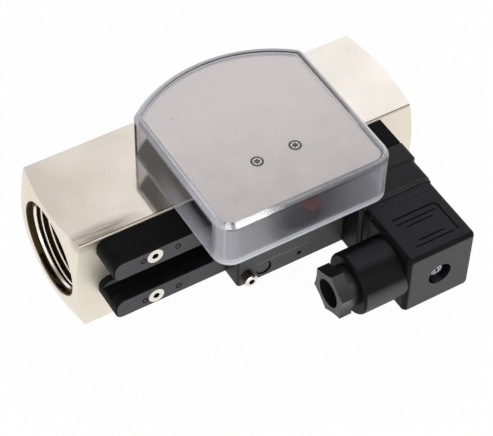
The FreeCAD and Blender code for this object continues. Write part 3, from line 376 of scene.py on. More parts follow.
spring_steel = metal_finish("tempered_spring_steel", "#8E8F95", "#5E5F68", 0.34, 0.7)
dress(spring_steel, "inlet_retaining_ring", "outlet_retaining_ring")
spring_low, spring_high = (Vector(corner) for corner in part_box("return_spring"))
spring_length = spring_high.x - spring_low.x
spring_pitch = (spring_length - 2 * SPRING_WIRE_RADIUS) / SPRING_TURNS
spring_radius = (spring_high.z - spring_low.z) / 2 - SPRING_WIRE_RADIUS
wire_angles = [2 * math.pi * side / SPRING_WIRE_SIDES for side in range(SPRING_WIRE_SIDES)]
wire = [
    (
        SPRING_WIRE_RADIUS * math.sin(angle) / spring_pitch,
        spring_radius + SPRING_WIRE_RADIUS * math.cos(angle),
    )
    for angle in wire_angles
]
coil = wound_thread(
    wire, spring_pitch, -SPRING_TURNS, SPRING_STEPS,
    Vector((spring_low.x + SPRING_WIRE_RADIUS, 0, AXIS_Z)), Vector((1, 0, 0)), Vector((0, 0, 1)),
)
return_spring = placed("coiled_return_spring", coil, "meter", "spring_steel", spring_steel)
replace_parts(return_spring, "return_spring")
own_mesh(return_spring)

# Float: a stainless steel head and skirt, turned and screwed together over a ring magnet of pressed
# and fired ferrite, which is charcoal grey and chips at its edges.

dress(metal_finish("turned_stainless_steel", "#C9C8C5", "#A9A8A6", 0.25, 0.5), "float_head", "float_skirt")
dress(
    dull_finish("fired_ferrite", "#3A3938", "#262524", 0.55, 0.4, 0.04), "float_magnet", "follower_magnet"
)

# Display base: a plate of aluminium with its pivot boss and pillars, anodised dark grey. Four
# countersunk screws hold it on the body's top.

dress(dull_finish("grey_anodised_aluminium", "#4A4A4E", "#3D3D41", 0.55, 0.6, 0.02, 0.3), "display_base")

BASE_TOP_Z = 42 * MM
DARK_PATCH_MIDDLE = Vector((2.5 * MM, -43.7 * MM, BASE_TOP_Z))
DARK_PATCH_HALF_LENGTH = 8.5 * MM
DARK_PATCH_HALF_WIDTH = 4.3 * MM
DARK_PATCH_THICKNESS = 0.05 * MM


def of_kind(geometry, kind):
    """The vertices, edges or faces among what an operator returns."""
    return [element for element in geometry if isinstance(element, kind)]


# A thin black patch is laid on the base under the pointer's tail.
tail_dark_patch = bmesh.new()
bmesh.ops.create_circle(tail_dark_patch, segments=48, radius=1, cap_ends=True)
bmesh.ops.scale(tail_dark_patch, verts=tail_dark_patch.verts[:], vec=(DARK_PATCH_HALF_LENGTH, DARK_PATCH_HALF_WIDTH, 1))
patch_raised = bmesh.ops.extrude_face_region(tail_dark_patch, geom=tail_dark_patch.faces[:])["geom"]
bmesh.ops.translate(
    tail_dark_patch, verts=of_kind(patch_raised, bmesh.types.BMVert), vec=(0, 0, DARK_PATCH_THICKNESS)
)
bmesh.ops.translate(tail_dark_patch, verts=tail_dark_patch.verts[:], vec=DARK_PATCH_MIDDLE)
outward(tail_dark_patch)
black_patch = dull_finish("flat_black_patch", "#0C0B0B", "#070606", 0.7, 0.5, 0.01, 0.1)
placed("tail_dark_patch", tail_dark_patch, "meter", "base_aluminium", black_patch)

# Base screws and pivot pin: turned stainless steel, bright on their faces. The screws go through the
# base into the body, and the pin stands in the base's boss.

screw_steel = metal_finish("bright_screw_steel", "#F6F1E8", "#DDD6CB", 0.2, 0.4)
dress(screw_steel, "base_screws", "pivot_pin")

# Pointer: an aluminium arm lacquered signal red, which turns on the pivot pin with a magnet under it.
# The lacquer is even, with a little orange peel.

lacquer = new_finish("red_lacquer")
lacquer_place = add(lacquer, "TexCoord").outputs["Object"]
peel = add(lacquer, "TexNoise", {"Scale": per_mm(1.2), "Detail": 2.0}, {"Vector": lacquer_place})
peel_bump = add(lacquer, "Bump", {"Strength": 0.15, "Distance": 0.05 * MM}, {"Height": peel.outputs["Fac"]})
show(lacquer, add(lacquer, "BsdfPrincipled", {"Roughness": 0.4}, {
    "Base Color": shade_between(lacquer, peel.outputs["Fac"], "#5E0A0D", "#6C1013"),
    "Normal": peel_bump,
}))
dress(lacquer, "pointer")

# Dial plate: sheet aluminium, faintly brushed and clear anodised, pale silver with a warm cast. It is
# painted paler towards the back as painted light, and dark on its underside and cut edge as painted
# shade. A few specks of dust lie on it under the cover.

DIAL_FRONT_Y = -48 * MM
DIAL_BACK_Y = 5 * MM
DUST_SPACING = 11
DUST_SHARE = 0.028

dial_metal = new_finish("brushed_anodised_aluminium")
dial_place = add(dial_metal, "TexCoord").outputs["Object"]
brushing = add(
    dial_metal, "Mapping", {"Scale": (per_mm(0.8), per_mm(16), per_mm(1))}, {"Vector": dial_place}
)
strokes = add(dial_metal, "TexNoise", {"Scale": 1.0, "Detail": 4.0}, {"Vector": brushing})
mottle = add(dial_metal, "TexNoise", {"Scale": per_mm(9), "Detail": 3.0}, {"Vector": dial_place})
dial_where = add(dial_metal, "SeparateXYZ", None, {0: dial_place})
# The plate is painted paler towards the back: painted light.
dial_paler_back = add(dial_metal, "MapRange", {
    "From Min": DIAL_FRONT_Y, "From Max": DIAL_BACK_Y, "To Min": 0.0, "To Max": 0.5,
}, {"Value": dial_where.outputs["Y"]})
dial_strokes_and_light = add(dial_metal, "Math", {1: 0.2}, {
    0: strokes.outputs["Fac"], 2: dial_paler_back,
}, operation="MULTIPLY_ADD")
dial_blend = add(dial_metal, "Math", {1: 0.4}, {
    0: mottle.outputs["Fac"], 2: dial_strokes_and_light,
}, operation="MULTIPLY_ADD")
dust = add(dial_metal, "TexVoronoi", {"Scale": per_mm(DUST_SPACING)}, {"Vector": dial_place})
speck = add(dial_metal, "Math", {1: DUST_SHARE}, {0: dust.outputs["Distance"]}, operation="LESS_THAN")
dial_tone = add(dial_metal, "Mix", {"B": linear("#8D8683")}, {
    "Factor": speck,
    "A": shade_between(dial_metal, dial_blend, "#CAC3C2", "#E4DEDC", (0.2, 0.7)),
}, data_type="RGBA")
dial_facing = add(dial_metal, "SeparateXYZ", None, {0: add(dial_metal, "NewGeometry").outputs["Normal"]})
# Underside and cut edge are painted dark: painted shade under the plate and along its edge.
dial_underside_shade = add(dial_metal, "Math", {1: 0.5}, {0: dial_facing.outputs["Z"]}, operation="LESS_THAN")
dial_colour = add(dial_metal, "Mix", {"B": linear("#3B3837")}, {
    "Factor": dial_underside_shade, "A": dial_tone.outputs["Result"],
}, data_type="RGBA")
dial_bump = add(
    dial_metal, "Bump", {"Strength": 0.08, "Distance": 0.03 * MM}, {"Height": strokes.outputs["Fac"]}
)
show(dial_metal, add(dial_metal, "BsdfPrincipled", {"Metallic": 1.0, "Roughness": 0.4}, {
    "Base Color": dial_colour.outputs["Result"],
    "Normal": dial_bump,
}))
dress(dial_metal, "dial_plate")

# Dial screws: two small countersunk stainless screws with a six-lobed drive, flush with the plate.
# The drive and the gap round each head are painted dark, as painted shade.

DIAL_SCREW_X = (-4.1 * MM, 10.1 * MM)
DIAL_SCREW_Y = -29.8 * MM
DIAL_TOP_Z = 56.4 * MM
DIAL_FACE_RADIUS = 1.42 * MM
DIAL_DRIVE_RADIUS = 1.25 * MM
DIAL_DRIVE_DEPTH = 0.8 * MM
DIAL_GAP_RADIUS = 2.3 * MM
DIAL_GAP_DEPTH = 0.04 * MM
DIAL_SHANK_RADIUS = 1.05 * MM
DIAL_HEAD_DEPTH = 1.15 * MM
DIAL_SHANK_END = 7.0 * MM
DRIVE_POINTS = 72
BRIGHT, DARK = 0, 1


def six_lobes(turn):
    """Edge of a six-lobed drive, as a share of its largest radius."""
    return 0.84 + 0.16 * math.cos(6 * turn)


def grow_down(mesh, edges, radius_share, drop, finish_index=BRIGHT):
    """Extrudes a ring of edges downward, scales it about the axis and returns its new edges."""
    grown = bmesh.ops.extrude_edge_only(mesh, edges=edges)["geom"]
    verts = of_kind(grown, bmesh.types.BMVert)
    for face in of_kind(grown, bmesh.types.BMFace):
        face.material_index = finish_index
    bmesh.ops.translate(mesh, verts=verts, vec=(0, 0, -drop))
    bmesh.ops.scale(mesh, verts=verts, vec=(radius_share, radius_share, 1))
    ring = of_kind(grown, bmesh.types.BMEdge)
    return [e for e in ring if e.verts[0] in verts and e.verts[1] in verts]


def driven_disc(mesh, radius, drive_radius, drive_depth, edge):
    """Flat disc facing +Z at the origin with a blind drive recess of the given edge, painted dark as
    painted shade.
    """
    rim = bmesh.ops.create_circle(mesh, segments=DRIVE_POINTS, radius=radius)["verts"]
    mouth = bmesh.ops.create_circle(mesh, segments=DRIVE_POINTS, radius=drive_radius)["verts"]
    for vert in mouth:
        vert.co *= edge(math.atan2(vert.co.y, vert.co.x))
    mouth_edges = [e for e in mesh.edges if e.verts[0] in mouth]
    rim_edges = [e for e in mesh.edges if e.verts[0] in rim]
    bmesh.ops.bridge_loops(mesh, edges=mouth_edges + rim_edges)
    floor_edges = grow_down(mesh, mouth_edges, 1.0, drive_depth, DARK)
    for face in bmesh.ops.edgeloop_fill(mesh, edges=floor_edges)["faces"]:
        face.material_index = DARK
    return rim_edges


def closed(mesh, ring):
    """Closes the end of a turned piece, turns its faces outward and shades it smooth."""
    bmesh.ops.edgeloop_fill(mesh, edges=ring)
    outward(mesh)
    smooth(mesh)


def copied_to(mesh, places, turn=Matrix.Identity(4)):
    """One mesh that holds a finished piece, turned, at each of several places; the piece is used up."""
    pattern = bpy.data.meshes.new("pattern")
    mesh.to_mesh(pattern)
    mesh.free()
    group = bmesh.new()
    for place in places:
        before = set(group.verts)
        group.from_mesh(pattern)
        fresh = [v for v in group.verts if v not in before]
        bmesh.ops.transform(group, verts=fresh, matrix=Matrix.Translation(place) @ turn)
    bpy.data.meshes.remove(pattern)
    return group


# Drives, sockets and the gaps round heads take this dark finish: painted shade.
recess_shade = dull_finish("painted_recess_shade", "#0C0B0A", "#060606", 0.8, 0.5, 0.02, 0.1)
dial_screw = bmesh.new()
ring = driven_disc(dial_screw, DIAL_FACE_RADIUS, DIAL_DRIVE_RADIUS, DIAL_DRIVE_DEPTH, six_lobes)
ring = grow_down(dial_screw, ring, 1.0, DIAL_GAP_DEPTH, DARK)
ring = grow_down(dial_screw, ring, DIAL_GAP_RADIUS / DIAL_FACE_RADIUS, 0, DARK)
ring = grow_down(dial_screw, ring, DIAL_SHANK_RADIUS / DIAL_GAP_RADIUS, DIAL_HEAD_DEPTH)
ring = grow_down(dial_screw, ring, 1.0, DIAL_SHANK_END - DIAL_HEAD_DEPTH - DIAL_GAP_DEPTH)
closed(dial_screw, ring)
dial_screws = copied_to(dial_screw, [Vector((x, DIAL_SCREW_Y, DIAL_TOP_Z)) for x in DIAL_SCREW_X])
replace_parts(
    placed("six_lobed_dial_screws", dial_screws, "meter", "screw_steel", screw_steel, recess_shade),
    "dial_screws",
)

# Display cover: one clear hood moulded in polycarbonate, which stands on the body's top over the dial.
# Light that runs inside its walls makes its rim and foot milky. Its front and the low fronts of its
# sides are hazy, partly real haze and partly painted light, with upright streaks of painted highlight
# at the corners, and the lower edge of its front bevel is painted dark as painted shade.

HOOD_SOLE_Z = 40.1 * MM
HOOD_FOOT_Z = 41.1 * MM
HOOD_FOOT_FADE = 0.4 * MM
HOOD_ROOF_Z = 56 * MM
HOOD_FRONT_Y = -44.2 * MM
HOOD_ARC_SHIFT = (-3.0 * MM, 30.5 * MM, 0)
HOOD_ARC_INSIDE = 46.4 * MM
HOOD_MIDDLE_X = 3 * MM
HOOD_SIDE_INSIDE = 29.7 * MM
HOOD_CLEAREST_X = 2 * MM
FRONT_HAZE_REACH = (6 * MM, 28 * MM)
SIDE_HAZE_Y = (-8 * MM, -24 * MM)
SIDE_HAZE_Z = (52 * MM, 42 * MM)
STREAK_WIDTH = 1.1
DARK_EDGE_Z = 57.8 * MM
DARK_EDGE_FADE = 0.2 * MM
DARK_EDGE_X = (-12 * MM, -6 * MM)
HOOD_TINT = linear("#F8F7F8")

clear_hood = new_finish("moulded_clear_polycarbonate")
hood_place = add(clear_hood, "TexCoord").outputs["Object"]
hood_where = add(clear_hood, "SeparateXYZ", None, {0: hood_place})
hood_facing = add(clear_hood, "SeparateXYZ", None, {0: add(clear_hood, "NewGeometry").outputs["Normal"]})
hood_ahead = add(clear_hood, "Math", {1: HOOD_FRONT_Y}, {0: hood_where.outputs["Y"]}, operation="LESS_THAN")
# The milky rim lies over the walls, which are an arc at the back and straight at the sides.
hood_plan = add(
    clear_hood, "Mapping", {"Location": HOOD_ARC_SHIFT, "Scale": (1, 1, 0)}, {"Vector": hood_place}
)
hood_reach = add(clear_hood, "VectorMath", None, {0: hood_plan}, operation="LENGTH")
hood_outer = add(clear_hood, "Math", {1: HOOD_ARC_INSIDE}, {
    0: hood_reach.outputs["Value"],
}, operation="GREATER_THAN")
hood_middle = add(clear_hood, "Math", {1: HOOD_MIDDLE_X}, {0: hood_where.outputs["X"]}, operation="SUBTRACT")
hood_sideways = add(clear_hood, "Math", None, {0: hood_middle}, operation="ABSOLUTE")
hood_side = add(clear_hood, "Math", {1: HOOD_SIDE_INSIDE}, {0: hood_sideways}, operation="GREATER_THAN")
hood_side_milk = add(clear_hood, "Math", {1: 0.35}, {0: hood_side}, operation="MULTIPLY")
hood_back_milk = add(clear_hood, "Math", {1: 0.65}, {0: hood_outer}, operation="MULTIPLY")
hood_round = add(clear_hood, "Math", None, {0: hood_side_milk, 1: hood_back_milk}, operation="MAXIMUM")
hood_above = add(clear_hood, "Math", {1: HOOD_ROOF_Z}, {0: hood_where.outputs["Z"]}, operation="GREATER_THAN")
hood_rim = add(clear_hood, "Math", None, {0: hood_round, 1: hood_above}, operation="MULTIPLY")
# The bevel shines, and the lower edge of its front is painted dark as painted shade over the black switch.
hood_roof = add(clear_hood, "Math", {1: 0.95}, {0: hood_facing.outputs["Z"]}, operation="GREATER_THAN")
hood_tilt = add(clear_hood, "Math", {1: 0.2}, {0: hood_facing.outputs["Z"]}, operation="GREATER_THAN")
hood_bevel = add(clear_hood, "Math", None, {0: hood_tilt, 1: hood_roof}, operation="SUBTRACT")
hood_over_switch = add(clear_hood, "MapRange", {
    "From Min": DARK_EDGE_X[0], "From Max": DARK_EDGE_X[1],
}, {"Value": hood_where.outputs["X"]})
hood_under_bevel = add(clear_hood, "MapRange", {
    "From Min": DARK_EDGE_Z + DARK_EDGE_FADE, "From Max": DARK_EDGE_Z - DARK_EDGE_FADE,
}, {"Value": hood_where.outputs["Z"]})
hood_painted_edge_shade = hood_bevel
for share in (hood_over_switch, hood_ahead, hood_under_bevel):
    hood_painted_edge_shade = add(clear_hood, "Math", None, {0: hood_painted_edge_shade, 1: share}, operation="MULTIPLY")
# The front wall's haze, partly painted light, grows away from its clearest place, and streaks of
# painted highlight stand where the wall turns.
hood_below = add(clear_hood, "Math", {1: HOOD_ROOF_Z}, {0: hood_where.outputs["Z"]}, operation="LESS_THAN")
hood_hazed = add(clear_hood, "Math", None, {0: hood_below, 1: hood_ahead}, operation="MULTIPLY")
hood_beside = add(clear_hood, "Math", {1: HOOD_CLEAREST_X}, {
    0: hood_where.outputs["X"],
}, operation="SUBTRACT")
hood_aside = add(clear_hood, "Math", None, {0: hood_beside}, operation="ABSOLUTE")
hood_haze_and_light = add(clear_hood, "MapRange", {
    "From Min": FRONT_HAZE_REACH[0], "From Max": FRONT_HAZE_REACH[1], "To Min": 0.02, "To Max": 0.15,
}, {"Value": hood_aside})
hood_aslant = add(clear_hood, "Math", None, {
    0: hood_facing.outputs["X"], 1: hood_facing.outputs["Y"],
}, operation="MULTIPLY")
hood_turned = add(clear_hood, "Math", None, {0: hood_aslant}, operation="ABSOLUTE")
hood_streaks = add(
    clear_hood, "TexNoise", {"Scale": per_mm(STREAK_WIDTH), "Detail": 2.0}, {"W": hood_where.outputs["X"]},
    noise_dimensions="1D",
)
hood_streak_highlight = add(clear_hood, "MapRange", {
    "From Min": 0.38, "From Max": 0.62, "To Min": 0.0, "To Max": 0.4,
}, {"Value": hood_streaks.outputs["Fac"]})
hood_haze_and_highlight = add(clear_hood, "Math", None, {
    0: hood_turned, 1: hood_streak_highlight, 2: hood_haze_and_light,
}, operation="MULTIPLY_ADD")
hood_front_haze_and_light = add(clear_hood, "Math", None, {0: hood_haze_and_highlight, 1: hood_hazed}, operation="MULTIPLY")
# The side walls' haze, partly painted light, grows forward and downward.
hood_forward = add(clear_hood, "MapRange", {
    "From Min": SIDE_HAZE_Y[0], "From Max": SIDE_HAZE_Y[1],
}, {"Value": hood_where.outputs["Y"]})
hood_lower = add(clear_hood, "MapRange", {
    "From Min": SIDE_HAZE_Z[0], "From Max": SIDE_HAZE_Z[1], "To Min": 0.0, "To Max": 0.33,
}, {"Value": hood_where.outputs["Z"]})
hood_edgewise = add(clear_hood, "Math", None, {0: hood_facing.outputs["X"]}, operation="ABSOLUTE")
hood_side_wall = add(clear_hood, "Math", {1: 0.5}, {0: hood_edgewise}, operation="GREATER_THAN")
hood_side_haze_and_light = hood_forward
for share in (hood_lower, hood_side_wall, hood_side):
    hood_side_haze_and_light = add(clear_hood, "Math", None, {0: hood_side_haze_and_light, 1: share}, operation="MULTIPLY")
hood_wall_haze_and_light = add(clear_hood, "Math", None, {
    0: hood_front_haze_and_light, 1: hood_side_haze_and_light,
}, operation="MAXIMUM")
# The foot is milky, most of all in front, and so is the sole except under the front wall.
hood_foot = add(clear_hood, "MapRange", {
    "From Min": HOOD_FOOT_Z + HOOD_FOOT_FADE, "From Max": HOOD_FOOT_Z, "To Min": 0.0, "To Max": 0.65,
}, {"Value": hood_where.outputs["Z"]})
hood_front = add(clear_hood, "MapRange", {
    "From Min": 0.2, "From Max": -0.6, "To Min": 0.2, "To Max": 1.0,
}, {"Value": hood_facing.outputs["Y"]})
hood_front_foot = add(clear_hood, "Math", None, {0: hood_foot, 1: hood_front}, operation="MULTIPLY")
hood_sole = add(clear_hood, "Math", {1: HOOD_SOLE_Z}, {0: hood_where.outputs["Z"]}, operation="LESS_THAN")
hood_resting = add(clear_hood, "Math", None, {
    0: hood_sole, 1: hood_ahead,
}, operation="SUBTRACT", use_clamp=True)
hood_ground = add(clear_hood, "Math", {1: 0.6}, {
    0: hood_resting, 2: hood_front_foot,
}, operation="MULTIPLY_ADD")
hood_edge = add(clear_hood, "Math", {1: 0.06}, {
    0: hood_bevel, 2: hood_wall_haze_and_light,
}, operation="MULTIPLY_ADD")
hood_milky = hood_edge
for share in (hood_rim, hood_ground):
    hood_milky = add(clear_hood, "Math", None, {0: hood_milky, 1: share}, operation="MAXIMUM")
# Flow marks bend the clear polycarbonate's faces a little, and it lets shadow rays straight through.
flow_marks = add(clear_hood, "TexNoise", {"Scale": per_mm(6), "Detail": 2.0}, {"Vector": hood_place})
hood_bump = add(
    clear_hood, "Bump", {"Strength": 0.015, "Distance": 0.1 * MM}, {"Height": flow_marks.outputs["Fac"]}
)
hood_rough = add(clear_hood, "MapRange", {"To Min": 0.06, "To Max": 0.22}, {"Value": hood_hazed})
hood_colour = add(clear_hood, "Mix", {"A": HOOD_TINT, "B": linear("#22252B")}, {
    "Factor": hood_painted_edge_shade,
}, data_type="RGBA")
hood_glass = add(clear_hood, "BsdfPrincipled", {
    "IOR": 1.585, "Transmission Weight": 1.0, "Specular IOR Level": 0.12, "Coat Roughness": 0.05,
}, {
    "Base Color": hood_colour.outputs["Result"],
    "Roughness": hood_rough,
    "Normal": hood_bump,
    "Coat Weight": hood_bevel,
})
hood_milk = add(clear_hood, "BsdfPrincipled", {"Base Color": linear("#CFCFD8"), "Roughness": 0.25})
hood_body = add(clear_hood, "MixShader", None, {0: hood_milky, 1: hood_glass, 2: hood_milk})
hood_passing = add(clear_hood, "BsdfTransparent", {"Color": HOOD_TINT})
hood_rays = add(clear_hood, "LightPath")
show(clear_hood, add(clear_hood, "MixShader", None, {
    0: hood_rays.outputs["Is Shadow Ray"], 1: hood_body, 2: hood_passing,
}))
dress(clear_hood, "display_cover")

# Rails: two bars moulded in glass-filled black nylon and screwed to the body's front. Their faces
# are smooth with a faint grain, and the pins that pushed them out of the mould left small rings.

# The rails' front faces are painted paler than the rest: painted light.
rail_nylon = dull_finish(
    "moulded_glass_filled_nylon", "#131314", "#0E0E0F", 0.5, 0.7, 0.03, 0.05, ("#48484A", "#555556")
)
dress(rail_nylon, "upper_rail", "lower_rail")
# This dark nylon is the ejector rings' own polish; on the plug's top and in its gap it is painted shade.
dark_nylon_and_shade = dull_finish("polished_nylon_and_painted_shade", "#0B0B0C", "#070708", 0.45, 0.7, 0.01, 0.02)

RAIL_FACE_Y = -32 * MM
RAIL_SCREW_Z = (35.8 * MM, 15.8 * MM)
EJECTOR_X = (-46.8 * MM, -34.3 * MM, 26.7 * MM, 39.2 * MM)
EJECTOR_RADII = (0.72 * MM, 1.05 * MM)
EJECTOR_PROUD = 0.1 * MM
TO_FRONT = Matrix.Rotation(math.radians(90), 4, "X")


def low_ring(inner, outer, proud, shift=(0, 0, 0)):
    """Low flat ring facing +Z at the origin, with its hole moved aside by the shift."""
    mesh = bmesh.new()
    hole = bmesh.ops.create_circle(mesh, segments=32, radius=inner)["verts"]
    bmesh.ops.translate(mesh, verts=hole, vec=shift)
    bmesh.ops.create_circle(mesh, segments=32, radius=outer)
    flat = bmesh.ops.bridge_loops(mesh, edges=mesh.edges[:])["faces"]
    raised = bmesh.ops.extrude_face_region(mesh, geom=flat)["geom"]
    bmesh.ops.translate(mesh, verts=of_kind(raised, bmesh.types.BMVert), vec=(0, 0, proud))
    bmesh.ops.delete(mesh, geom=flat, context="FACES")
    outward(mesh)
    return mesh


ejector_mark = low_ring(*EJECTOR_RADII, EJECTOR_PROUD)
ejector_places = [Vector((x, RAIL_FACE_Y, z)) for z in RAIL_SCREW_Z for x in EJECTOR_X]
ejector_marks = copied_to(ejector_mark, ejector_places, TO_FRONT)
placed("rail_ejector_marks", ejector_marks, "meter", "rail_nylon", dark_nylon_and_shade)

# Rail screws: countersunk stainless screws with a hexagon socket, two through each rail into tapped
# holes in the body. Their heads lie flush and shine, and their sockets are painted dark as painted shade.

RAIL_SCREW_X = (-42.6 * MM, 35.0 * MM)
RAIL_HEAD_RADIUS = 2.85 * MM
RAIL_SHANK_RADIUS = 1.45 * MM
RAIL_CONE_DEPTH = RAIL_HEAD_RADIUS - RAIL_SHANK_RADIUS
RAIL_SOCKET_RADIUS = 1.25 * MM
RAIL_SOCKET_DEPTH = 1.2 * MM
RAIL_SCREW_LENGTH = 15.7 * MM


def hexagon(turn):
    """Edge of a hexagon socket, as a share of its corner radius."""
    return math.cos(math.pi / 6) / math.cos((turn % (math.pi / 3)) - math.pi / 6)


rail_screw = bmesh.new()
ring = driven_disc(rail_screw, RAIL_HEAD_RADIUS, RAIL_SOCKET_RADIUS, RAIL_SOCKET_DEPTH, hexagon)
ring = grow_down(rail_screw, ring, RAIL_SHANK_RADIUS / RAIL_HEAD_RADIUS, RAIL_CONE_DEPTH)
ring = grow_down(rail_screw, ring, 1.0, RAIL_SCREW_LENGTH - RAIL_CONE_DEPTH)
closed(rail_screw, ring)
rail_screw_places = [Vector((x, RAIL_FACE_Y, z)) for z in RAIL_SCREW_Z for x in RAIL_SCREW_X]
rail_screws = copied_to(rail_screw, rail_screw_places, TO_FRONT)
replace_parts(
    placed("hexagon_socket_rail_screws", rail_screws, "meter", "screw_steel", screw_steel, recess_shade),
    "rail_screws",
)

# Switch carriage and lid: a tray and its lid moulded in black nylon, its front faces painted paler
# as painted light. The tray's tongue runs between the rails, and a round plug closes the hole for the
# other hand.

switch_nylon = dull_finish(
    "moulded_nylon_painted_front_light", "#252525", "#1D1D1D", 0.5, 0.6, 0.05, 0.2, ("#434343", "#4F4F4F")
)
dress(switch_nylon, "switch_carriage", "switch_lid", "blanking_plug")

LID_FACE_Y = -40.4 * MM
LID_LINE_Z = 20.2 * MM
LID_LINE_X = (-9.6 * MM, 11.0 * MM)
LID_LINE_WIDTH = 0.3 * MM
LID_LINE_PROUD = 0.08 * MM
BLANKING_FACE = Vector((-6.8, -40.1, 17.1)) * MM
BLANKING_GAP_RADII = (2.52 * MM, 2.9 * MM)
BLANKING_GAP_DEPTH = 0.1 * MM
BLANKING_ASIDE = Vector((-0.27, 0.22, 0)) * MM


def bead(mesh, start, end, width, height, turn):
    """Low moulded bead with rounded edges between two points on a face; turn lays it on the face."""
    run = end - start
    cube = bmesh.ops.create_cube(mesh, size=1.0)["verts"]
    bmesh.ops.scale(mesh, verts=cube, vec=(run.length, width, 2 * height))
    edges = [e for e in mesh.edges if e.verts[0] in cube]
    top = [e for e in edges if all(v.co.z > 0 for v in e.verts)]
    bevelled = bmesh.ops.bevel(
        mesh, geom=top, offset=height * 0.7, segments=2, profile=0.5, affect="EDGES", material=-1
    )
    verts = set(bevelled["verts"]) | {v for v in cube if v.is_valid}
    bmesh.ops.transform(mesh, verts=list(verts), matrix=Matrix.Translation((start + end) / 2) @ turn)


# A low moulded bead runs along the lid, in a pale nylon that is a painted highlight.
lid_line = bmesh.new()
lid_line_ends = [Vector((x, LID_FACE_Y, LID_LINE_Z)) for x in LID_LINE_X]
bead(lid_line, *lid_line_ends, LID_LINE_WIDTH, LID_LINE_PROUD, TO_FRONT)
outward(lid_line)
highlight_nylon = dull_finish("moulded_nylon_painted_highlight", "#7C7C7E", "#707072", 0.5, 0.6, 0.03, 0.2)
placed("lid_moulding_line", lid_line, "carriage", "switch_nylon", highlight_nylon)

# The round plug sits a little to one side in its hole, and a black ring in the gap beside it paints
# the gap's shadow as a dark crescent.
plug_gap_shadow = low_ring(*BLANKING_GAP_RADII, BLANKING_GAP_DEPTH, BLANKING_ASIDE)
bmesh.ops.transform(plug_gap_shadow, verts=plug_gap_shadow.verts[:], matrix=Matrix.Translation(BLANKING_FACE) @ TO_FRONT)
placed("blanking_plug_gap_shadow", plug_gap_shadow, "carriage", "switch_nylon", dark_nylon_and_shade)

# Reed contact and its board: a drawn glass capsule on a strip of green glass-epoxy laminate, which
# lies in the tray under the lid.

dress(dull_finish("glass_epoxy_laminate", "#2F6B45", "#24573A", 0.4, 0.5, 0.02), "reed_board")
capsule_glass = new_finish("drawn_soda_glass")
capsule_place = add(capsule_glass, "TexCoord").outputs["Object"]
capsule_waves = add(capsule_glass, "TexNoise", {"Scale": per_mm(2)}, {"Vector": capsule_place})
capsule_bump = add(
    capsule_glass, "Bump", {"Strength": 0.1, "Distance": 0.05 * MM}, {"Height": capsule_waves.outputs["Fac"]}
)
show(capsule_glass, add(capsule_glass, "BsdfPrincipled", {
    "Base Color": linear("#DDEFE6"), "Roughness": 0.05, "IOR": 1.52, "Transmission Weight": 1.0,
}, {"Normal": capsule_bump}))
dress(capsule_glass, "reed_capsule")

# Clamp screw: a stainless set screw with a rolled thread and a hexagon socket, which stands out of
# the lid and presses on the lower rail. Grease and dust darken its thread.

CLAMP_AXIS = Vector((-13.5 * MM, 0, 17.5 * MM))
CLAMP_FRONT_Y = -43.9 * MM
CLAMP_REAR_Y = -32.35 * MM
CLAMP_RADIUS = 2.42 * MM
CLAMP_ROOT = 2.0 * MM
CLAMP_SUNK_ROOT = 0.97 * CLAMP_ROOT
CLAMP_FACE_RADIUS = 1.95 * MM
CLAMP_SOCKET_RADIUS = 1.2 * MM
CLAMP_SOCKET_DEPTH = 2.2 * MM
CLAMP_CHAMFER = 0.35 * MM
CLAMP_PITCH = 0.8 * MM
CLAMP_STEPS = 40

greasy_steel = metal_finish("greased_thread_steel", "#5B534A", "#1B1917", 0.35, 0.5)
clamp_length = CLAMP_REAR_Y - CLAMP_FRONT_Y
clamp_turns = int((clamp_length - 2 * CLAMP_CHAMFER) / CLAMP_PITCH) - 1
clamp_ridge = [(0.05, CLAMP_SUNK_ROOT), (0.4, CLAMP_RADIUS), (0.6, CLAMP_RADIUS), (0.95, CLAMP_SUNK_ROOT)]
clamp_screw = wound_thread(
    clamp_ridge, CLAMP_PITCH, clamp_turns, CLAMP_STEPS,
    Vector((0, 0, -CLAMP_CHAMFER)), Vector((0, 0, -1)), Vector((1, 0, 0)),
)
for face in clamp_screw.faces:
    face.material_index = DARK
ring = driven_disc(clamp_screw, CLAMP_FACE_RADIUS, CLAMP_SOCKET_RADIUS, CLAMP_SOCKET_DEPTH, hexagon)
ring = grow_down(clamp_screw, ring, CLAMP_RADIUS / CLAMP_FACE_RADIUS, CLAMP_CHAMFER)
ring = grow_down(clamp_screw, ring, CLAMP_ROOT / CLAMP_RADIUS, CLAMP_CHAMFER)
ring = grow_down(clamp_screw, ring, 1.0, clamp_length - 2 * CLAMP_CHAMFER, DARK)
closed(clamp_screw, ring)
clamp_place = Matrix.Translation(CLAMP_AXIS + Vector((0, CLAMP_FRONT_Y, 0)))
bmesh.ops.transform(clamp_screw, verts=clamp_screw.verts[:], matrix=clamp_place @ TO_FRONT)
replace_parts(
    placed("threaded_clamp_screw", clamp_screw, "clamp_screw", "screw_steel", screw_steel, greasy_steel),
    "clamp_screw",
)

# Connector socket, gasket and contacts: the square base moulded in black nylon, its front faces painted
# paler and its top faces a little paler as painted light, a gasket cut from rubber sheet, and four blades
# stamped from brass strip.

connector_nylon = dull_finish(
    "moulded_connector_nylon", "#101011", "#0B0B0C", 0.45, 0.7, 0.04, 0.08,
    ("#434344", "#4F4F50"), ("#222224", "#2C2C2E"),
)
dress(connector_nylon, "connector_socket")
dress(dull_finish("cut_sheet_rubber", "#1D1D1D", "#141414", 0.75, 0.6, 0.03), "flange_gasket")
dress(metal_finish("stamped_contact_brass", "#D8C08A", "#BFA265", 0.3, 0.5), "contact_blades")

# Plug: a square housing moulded in the same nylon and painted light, with a terminal block inside and
# a deep round recess for its screw. A plain line and four bars stand on its top, dark as painted shade.

dress(connector_nylon, "plug_housing", "terminal_insert", "gland_washer")

PLUG_TOP_Z = 38.8 * MM
